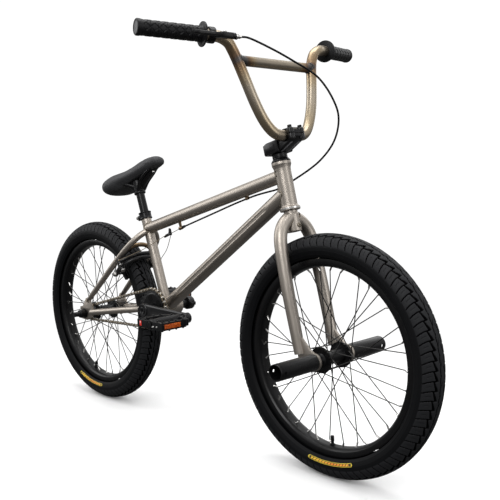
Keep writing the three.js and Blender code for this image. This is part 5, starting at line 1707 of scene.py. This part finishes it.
def make_crank_arm(side, direction, word):
    """A crank arm with rounded-square sections, dished on its outer face, and its pedal axle."""
    eye = BB + np.array([direction * CRANK_REACH, 0, 0])
    stations, around = 60, 40
    rings = []
    for t in np.linspace(0, 1, stations):
        x = BB[0] + direction * (6 + 146 * t)
        half = np.interp(t, [0, 0.08, 0.35, 0.9, 1], [16.5, 16, 14, 11.6, 11.4])
        inner = 64.6
        thick = np.interp(t, [0, 0.1, 0.9, 1], [14.2, 13.6, 12.6, 12.6])
        hollow = np.interp(t, [0, 0.12, 0.2, 0.8, 0.9, 1], [0, 0, 1.6, 1.6, 0, 0])
        section = []
        for k in range(around):
            a = 2 * math.pi * k / around
            ca, sa = math.cos(a), math.sin(a)
            y = np.sign(ca) * abs(ca) ** 0.45
            z = np.sign(sa) * abs(sa) ** 0.45
            dish = hollow * max(0.0, y) * math.exp(-((z / 0.55) ** 4))
            section.append((x, side * (inner + thick / 2 * (1 + y) - dish), BB[2] + half * z))
        rings.append(section)
    bar = capped(grid(np.array(rings)), stations, around)
    boss = turned(ring(9.9, 17, 63.8, 80.2), 1.6, BB, LEFT * side, 80)
    lip = turned(ring(14.5, 16.2, 80.0, 80.9), 0.3, BB, LEFT * side, 72)
    eye_boss = turned(disc(12.5, 64, 81.8), 1.5, eye, LEFT * side, 56)
    pinch = block((11, 15.5, 9), BB + np.array([-direction * 16, side * 72.4, 0]), edge=1.5)
    axle = turned(
        [(0.01, 81), (7.6, 81), (7.6, 84), (6, 85), (6, 171.6), (0.01, 171.6)], 0.4, eye,
        LEFT * side, 36,
    )
    twin(f"crank_arm_{word}", join(bar, boss, lip, eye_boss, pinch, axle), CRANK_BLACK, "cranks")
    screw = bolt(BB + np.array([-direction * 17.5, side * 72.4, 4.6]), (0, 0, 1), 3.6, 1.6)
    cap = turned(
        [
            (0.01, 77), (9.2, 77), (9.2, 80.4), (7.2, 81.2), (6.2, 80.6), (3.4, 80.2), (3.4, 78),
            (0.01, 78),
        ],
        0.5, BB, LEFT * side, 56,
    )
    # a thin hexagon, darker than the arm, on its inner face at the eye: painted shade of a hex
    # socket
    hex_socket_shade = revolve(disc(3.2, 0, 0.25), eye + LEFT * side * 63.9, -LEFT * side, 6)
    piece(f"crank_bolt_{word}", join(screw, cap, hex_socket_shade), ANODISED, "cranks")


def make_cranks():
    profile = [
        (3.5, -77.6), (9.3, -77.6), (9.3, -63.4), (14, -63.4), (14.2, -62), (14.2, -48.5),
        (14, -47), (9.5, -47), (9.5, 77.6), (3.5, 77.6),
    ]
    twin("crank_spindle", turned(profile, 0.4, BB, LEFT, 64), BLACK, "cranks")
    seals = [
        turned(ring(14.4, 18.8, 0, 1.0), 0.3, BB + LEFT * s * 35.2, LEFT * s, 56) for s in (-1, 1)
    ]
    piece("bracket_seals", join(*seals), BLACK, "frame")
    make_crank_arm(-1, 1, "right")
    make_crank_arm(1, -1, "left")


def make_pedal(side, direction, word, body):
    """A platform pedal: cage, ribs, pins, reflectors and plain marks on its outer end."""
    c = BB + np.array([direction * CRANK_REACH, side * PEDAL_Y, 0])
    parts = [
        turned(
            [(6.4, -44), (11.2, -44), (12.3, -42), (12.3, 42), (11.2, 44), (6.4, 44)], 0.6, c, LEFT,
            48,
        ),
    ]
    long, wide, tall = 92.0, 88.0, 18.0
    nose = 26.0
    outer = [
        (-46, 44), (46, 44), (46, 18 - wide / 2), (nose, -44), (-nose, -44), (-46, 18 - wide / 2),
    ]
    inner = [
        (-37, 34.5), (37, 34.5), (37, 21 - wide / 2), (21, -34.5), (-21, -34.5),
        (-37, 21 - wide / 2),
    ]
    for k in range(6):
        a, b = np.array(outer[k]), np.array(outer[(k + 1) % 6])
        d, e = np.array(inner[k]), np.array(inner[(k + 1) % 6])
        parts.append(slab([a, b, e, d], -tall / 2, tall / 2, c, (1, 0, 0), (0, side, 0), edge=1.2))
    for s in (-1, 1):
        for k in (-1, 1):
            rib = c + np.array([s * 26, k * 14.5, 0])
            parts.append(block((28, 4.2, 13), rib, edge=0.8))
        boss = c + np.array([s * 36, -side * 33, -8])
        parts.append(turned(disc(6.5, 0, 16), 1.2, boss, (0, 0, 1), 32))
    # the cage's inboard corners are cut off, so no pins stand there
    places = [
        (x, y) for x in (-40, -22, 22, 40) for y in (-38.5, 38.5) if y * side > 0 or abs(x) < 30
    ]
    places += [(x, y) for x in (-41.5, 41.5) for y in (-20, 0, 20)]
    section = rounded([(0.01, 0), (2.5, 0), (2.0, 2.6), (0.01, 2.8)], 0.3)
    pins = [
        revolve(
            section, c + np.array([x, y, z * tall / 2]), (0, 0, z), 14
        ) for x, y in places for z in (-1, 1)
    ]
    twin(f"pedal_{word}", join(*parts, *pins), PLASTIC, body)
    reflectors = []
    for s in (-1, 1):
        face = c + np.array([s * (long / 2 + 0.15), side * 14.0, 0])
        reflectors.append(block((46, 10.5, 1.2), face, LEFT, (0, 0, 1), edge=0.4))
    end = c + LEFT * side * (wide / 2)
    mark = block((7.0, 12, 0.5), end + np.array([-34.0, 0, 0]), (1, 0, 0), (0, 0, 1), edge=0.2)
    strokes = []
    for size, x, out, z, slope in (
        ((2.6, 4.0, 0.5), -34.5, 0.35, 2.6, 0.5), ((8.0, 1.8, 0.5), 12.0, 0.1, -2.5, 0.35),
        ((5.0, 1.8, 0.5), 26.0, 0.1, -1.0, 0.5),
    ):
        strokes.append(
            block(size, end + np.array([x, side * out, z]), (1, 0.0, slope), (0, 0, 1), edge=0.2),
        )
    cap = turned(
        [(0.01, 0), (7.6, 0), (7.6, 0.8), (5.5, 1.2), (0.01, 1.2)], 0.3, end, LEFT * side, 40
    )
    piece(f"pedal_reflectors_{word}", join(*reflectors), AMBER, body)
    piece(f"pedal_marks_{word}", mark, RED, body)
    piece(f"pedal_lines_{word}", join(*strokes), WHITE, body)
    piece(f"pedal_cap_{word}", cap, BLACK, body, slot="black_plastic")


# ---------------------------------------- rear brake
def at_brake(side, x, y, z):
    """A point given from a brake arm's stud: along the stud, to the left, up the stay."""
    return np.array([-241.5, side * 50, 399.7]) + x * STUD_OUT + y * LEFT + z * STAY_UP


def make_brake():
    """The two crossed brake arms with shoes, and the yoke that pulls both by wires."""
    for side, word in ((-1, "right"), (1, "left")):
        depth = -side * 6
        pivot = at_brake(side, 0, 0, 0)
        boss = turned(ring(4.7, 9, -8, 8), 0.8, pivot, STUD_OUT, 40)
        leg_path = [
            at_brake(side, 0, side * 1, -4), at_brake(side, 0, side * 1, -20),
            at_brake(side, 0, 0, -38),
        ]
        leg = sweep(smooth_path(leg_path, 30), np.linspace(6.8, 6.0, 30), 28, side=STUD_OUT)
        swing = [
            (0, side, 5), (depth * 0.8, -side * 2, 20), (depth, -side * 18, 37),
            (depth, -side * 50, 43), (depth, -side * 84, 37), (depth, -side * 113, 15),
        ]
        arch = sweep(
            smooth_path([at_brake(side, *p) for p in swing], 80), np.linspace(5.6, 4.7, 80), 28,
            side=STUD_OUT,
        )
        anchor = turned(
            disc(5.6, -7.6, 7.6), 0.8, at_brake(side, depth, -side * 113, 15), STUD_OUT, 32
        )
        twin(f"brake_arm_{word}", join(boss, leg, arch, anchor), CRANK_BLACK, f"brake_{word}")
        shoe_at = at_brake(side, 0, -side * 24.3, -33)
        shoe = block((42, 9, 9.5), shoe_at, STUD_OUT, STAY_UP, edge=1.6)
        piece(f"brake_shoe_{word}", shoe, GRIP, f"brake_{word}")
        rod = straight(
            at_brake(side, 0, side * 9, -33), at_brake(side, 0, -side * 20, -33), 3.2, 24
        )
        nut = hexagon(at_brake(side, 0, side * 7, -33), LEFT * side, 9.5, 5)
        cup = turned(ring(3.3, 7, 0, 3), 0.5, at_brake(side, 0, side * 4.2, -33), LEFT * side, 32)
        head = bolt(at_brake(side, depth + 7.6, -side * 113, 15), STUD_OUT, 4.0, 2.6)
        piece(f"brake_fittings_{word}", join(rod, nut, cup, head), BRIGHT, f"brake_{word}")
    pull = unit(CABLE_STOP - YOKE)
    lead = straight(YOKE, CABLE_STOP - pull * 6.4, 0.85, 10)
    wires = []
    for side in (-1, 1):
        end = at_brake(side, side * 6, side * 15, 23.5)
        a = YOKE + np.array([-1, side * 7, 0])
        middle = (a + end) / 2 + np.array([2.0, side * 2.0, -5.0])
        wires.append(sweep(smooth_path([a, middle, end], 40), 0.85, 10, side=(0.3, 0.1, 0.95)))
        wires.append(revolve(disc(2.0, 0, 4.5), end, end - middle, 16))
    piece("straddle_wires", join(lead, *wires), CHAIN, "straddle", "straddle_carrier")
    outline = [
        (-9, -3.4), (-3, -1), (3, -1), (9, -3.4), (10.5, -1.5), (4.5, 4.5), (2, 7.5), (-2, 7.5),
        (-4.5, 4.5), (-10.5, -1.5),
    ]
    carrier = slab(outline, -1.8, 1.8, YOKE, LEFT, pull, edge=0.6)
    rise = np.cross(pull, LEFT)
    fin = slab(
        [(-20, -2.4), (9, -3), (10.5, 12), (6, 14.5), (1, 4), (-20, 2.4)], -2.2, 2.2, YOKE, pull,
        rise, edge=0.7,
    )
    screw = bolt(YOKE + rise * 2 + pull * 3, rise, 3.0, 3.4)
    piece("straddle_yoke", join(carrier, fin, screw), BLACK, "straddle")


# ---------------------------------------- everything
make_cables()
make_frame()
make_rear_triangle()
make_seat_parts()
make_seat_base()
make_pad()
make_fork()
make_stem()
make_bars()
make_grip(-1, "right")
make_grip(1, "left")
make_lever()
make_wheels()
make_axles()
make_chain()
make_sprockets()
make_cranks()
make_pedal(-1, 1, "right", "right_pedal")
make_pedal(1, -1, "left", "left_pedal")
make_brake()

for node in (
    "headset_bearing_lower", "headset_bearing_upper", "bb_bearing_right", "bb_bearing_left"
):
    for material_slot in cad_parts[node].material_slots:
        material_slot.material = BRIGHT


def floor():
    """Pale floor that fades into the white backdrop away from the bike."""
    n = Nodes("studio_floor")
    soft = n.noise(n.place(), 1.2, 3.0, 0.5)
    n.set(
        Base_Color=n.mix(n.span(soft, 0.0, 1.0), (0.95, 0.95, 0.95), (0.98, 0.98, 0.98)),
        Roughness=0.9,
    )
    n.set(Specular_IOR_Level=0.1)
    coords = n.tree.nodes.new("ShaderNodeTexCoord")
    far = n.add("ShaderNodeVectorMath", Vector=coords.outputs["Object"])
    far.operation = "LENGTH"
    fade = n.add("ShaderNodeMapRange", Value=far.outputs["Value"])
    fade.inputs["From Min"].default_value = 0.45
    fade.inputs["From Max"].default_value = 1.3
    glow = n.tree.nodes.new("ShaderNodeEmission")
    glow.inputs["Strength"].default_value = BACKDROP
    mix = n.tree.nodes.new("ShaderNodeMixShader")
    output = n.tree.nodes["Material Output"]
    surface = output.inputs["Surface"].links[0].from_socket
    n.tree.links.new(fade.outputs[0], mix.inputs[0])
    n.tree.links.new(surface, mix.inputs[1])
    n.tree.links.new(glow.outputs[0], mix.inputs[2])
    n.tree.links.new(mix.outputs[0], output.inputs["Surface"])
    mesh = bpy.data.meshes.new("floor")
    half, drop = 14.0, -0.0006
    corners = [(x * half, y * half, drop) for x, y in ((-1, -1), (1, -1), (1, 1), (-1, 1))]
    mesh.from_pydata(corners, [], [(0, 1, 2, 3)])
    obj = bpy.data.objects.new("floor", mesh)
    scene.collection.objects.link(obj)
    mesh.materials.append(n.material)
    obj.visible_glossy = False
    obj.visible_diffuse = False


floor()
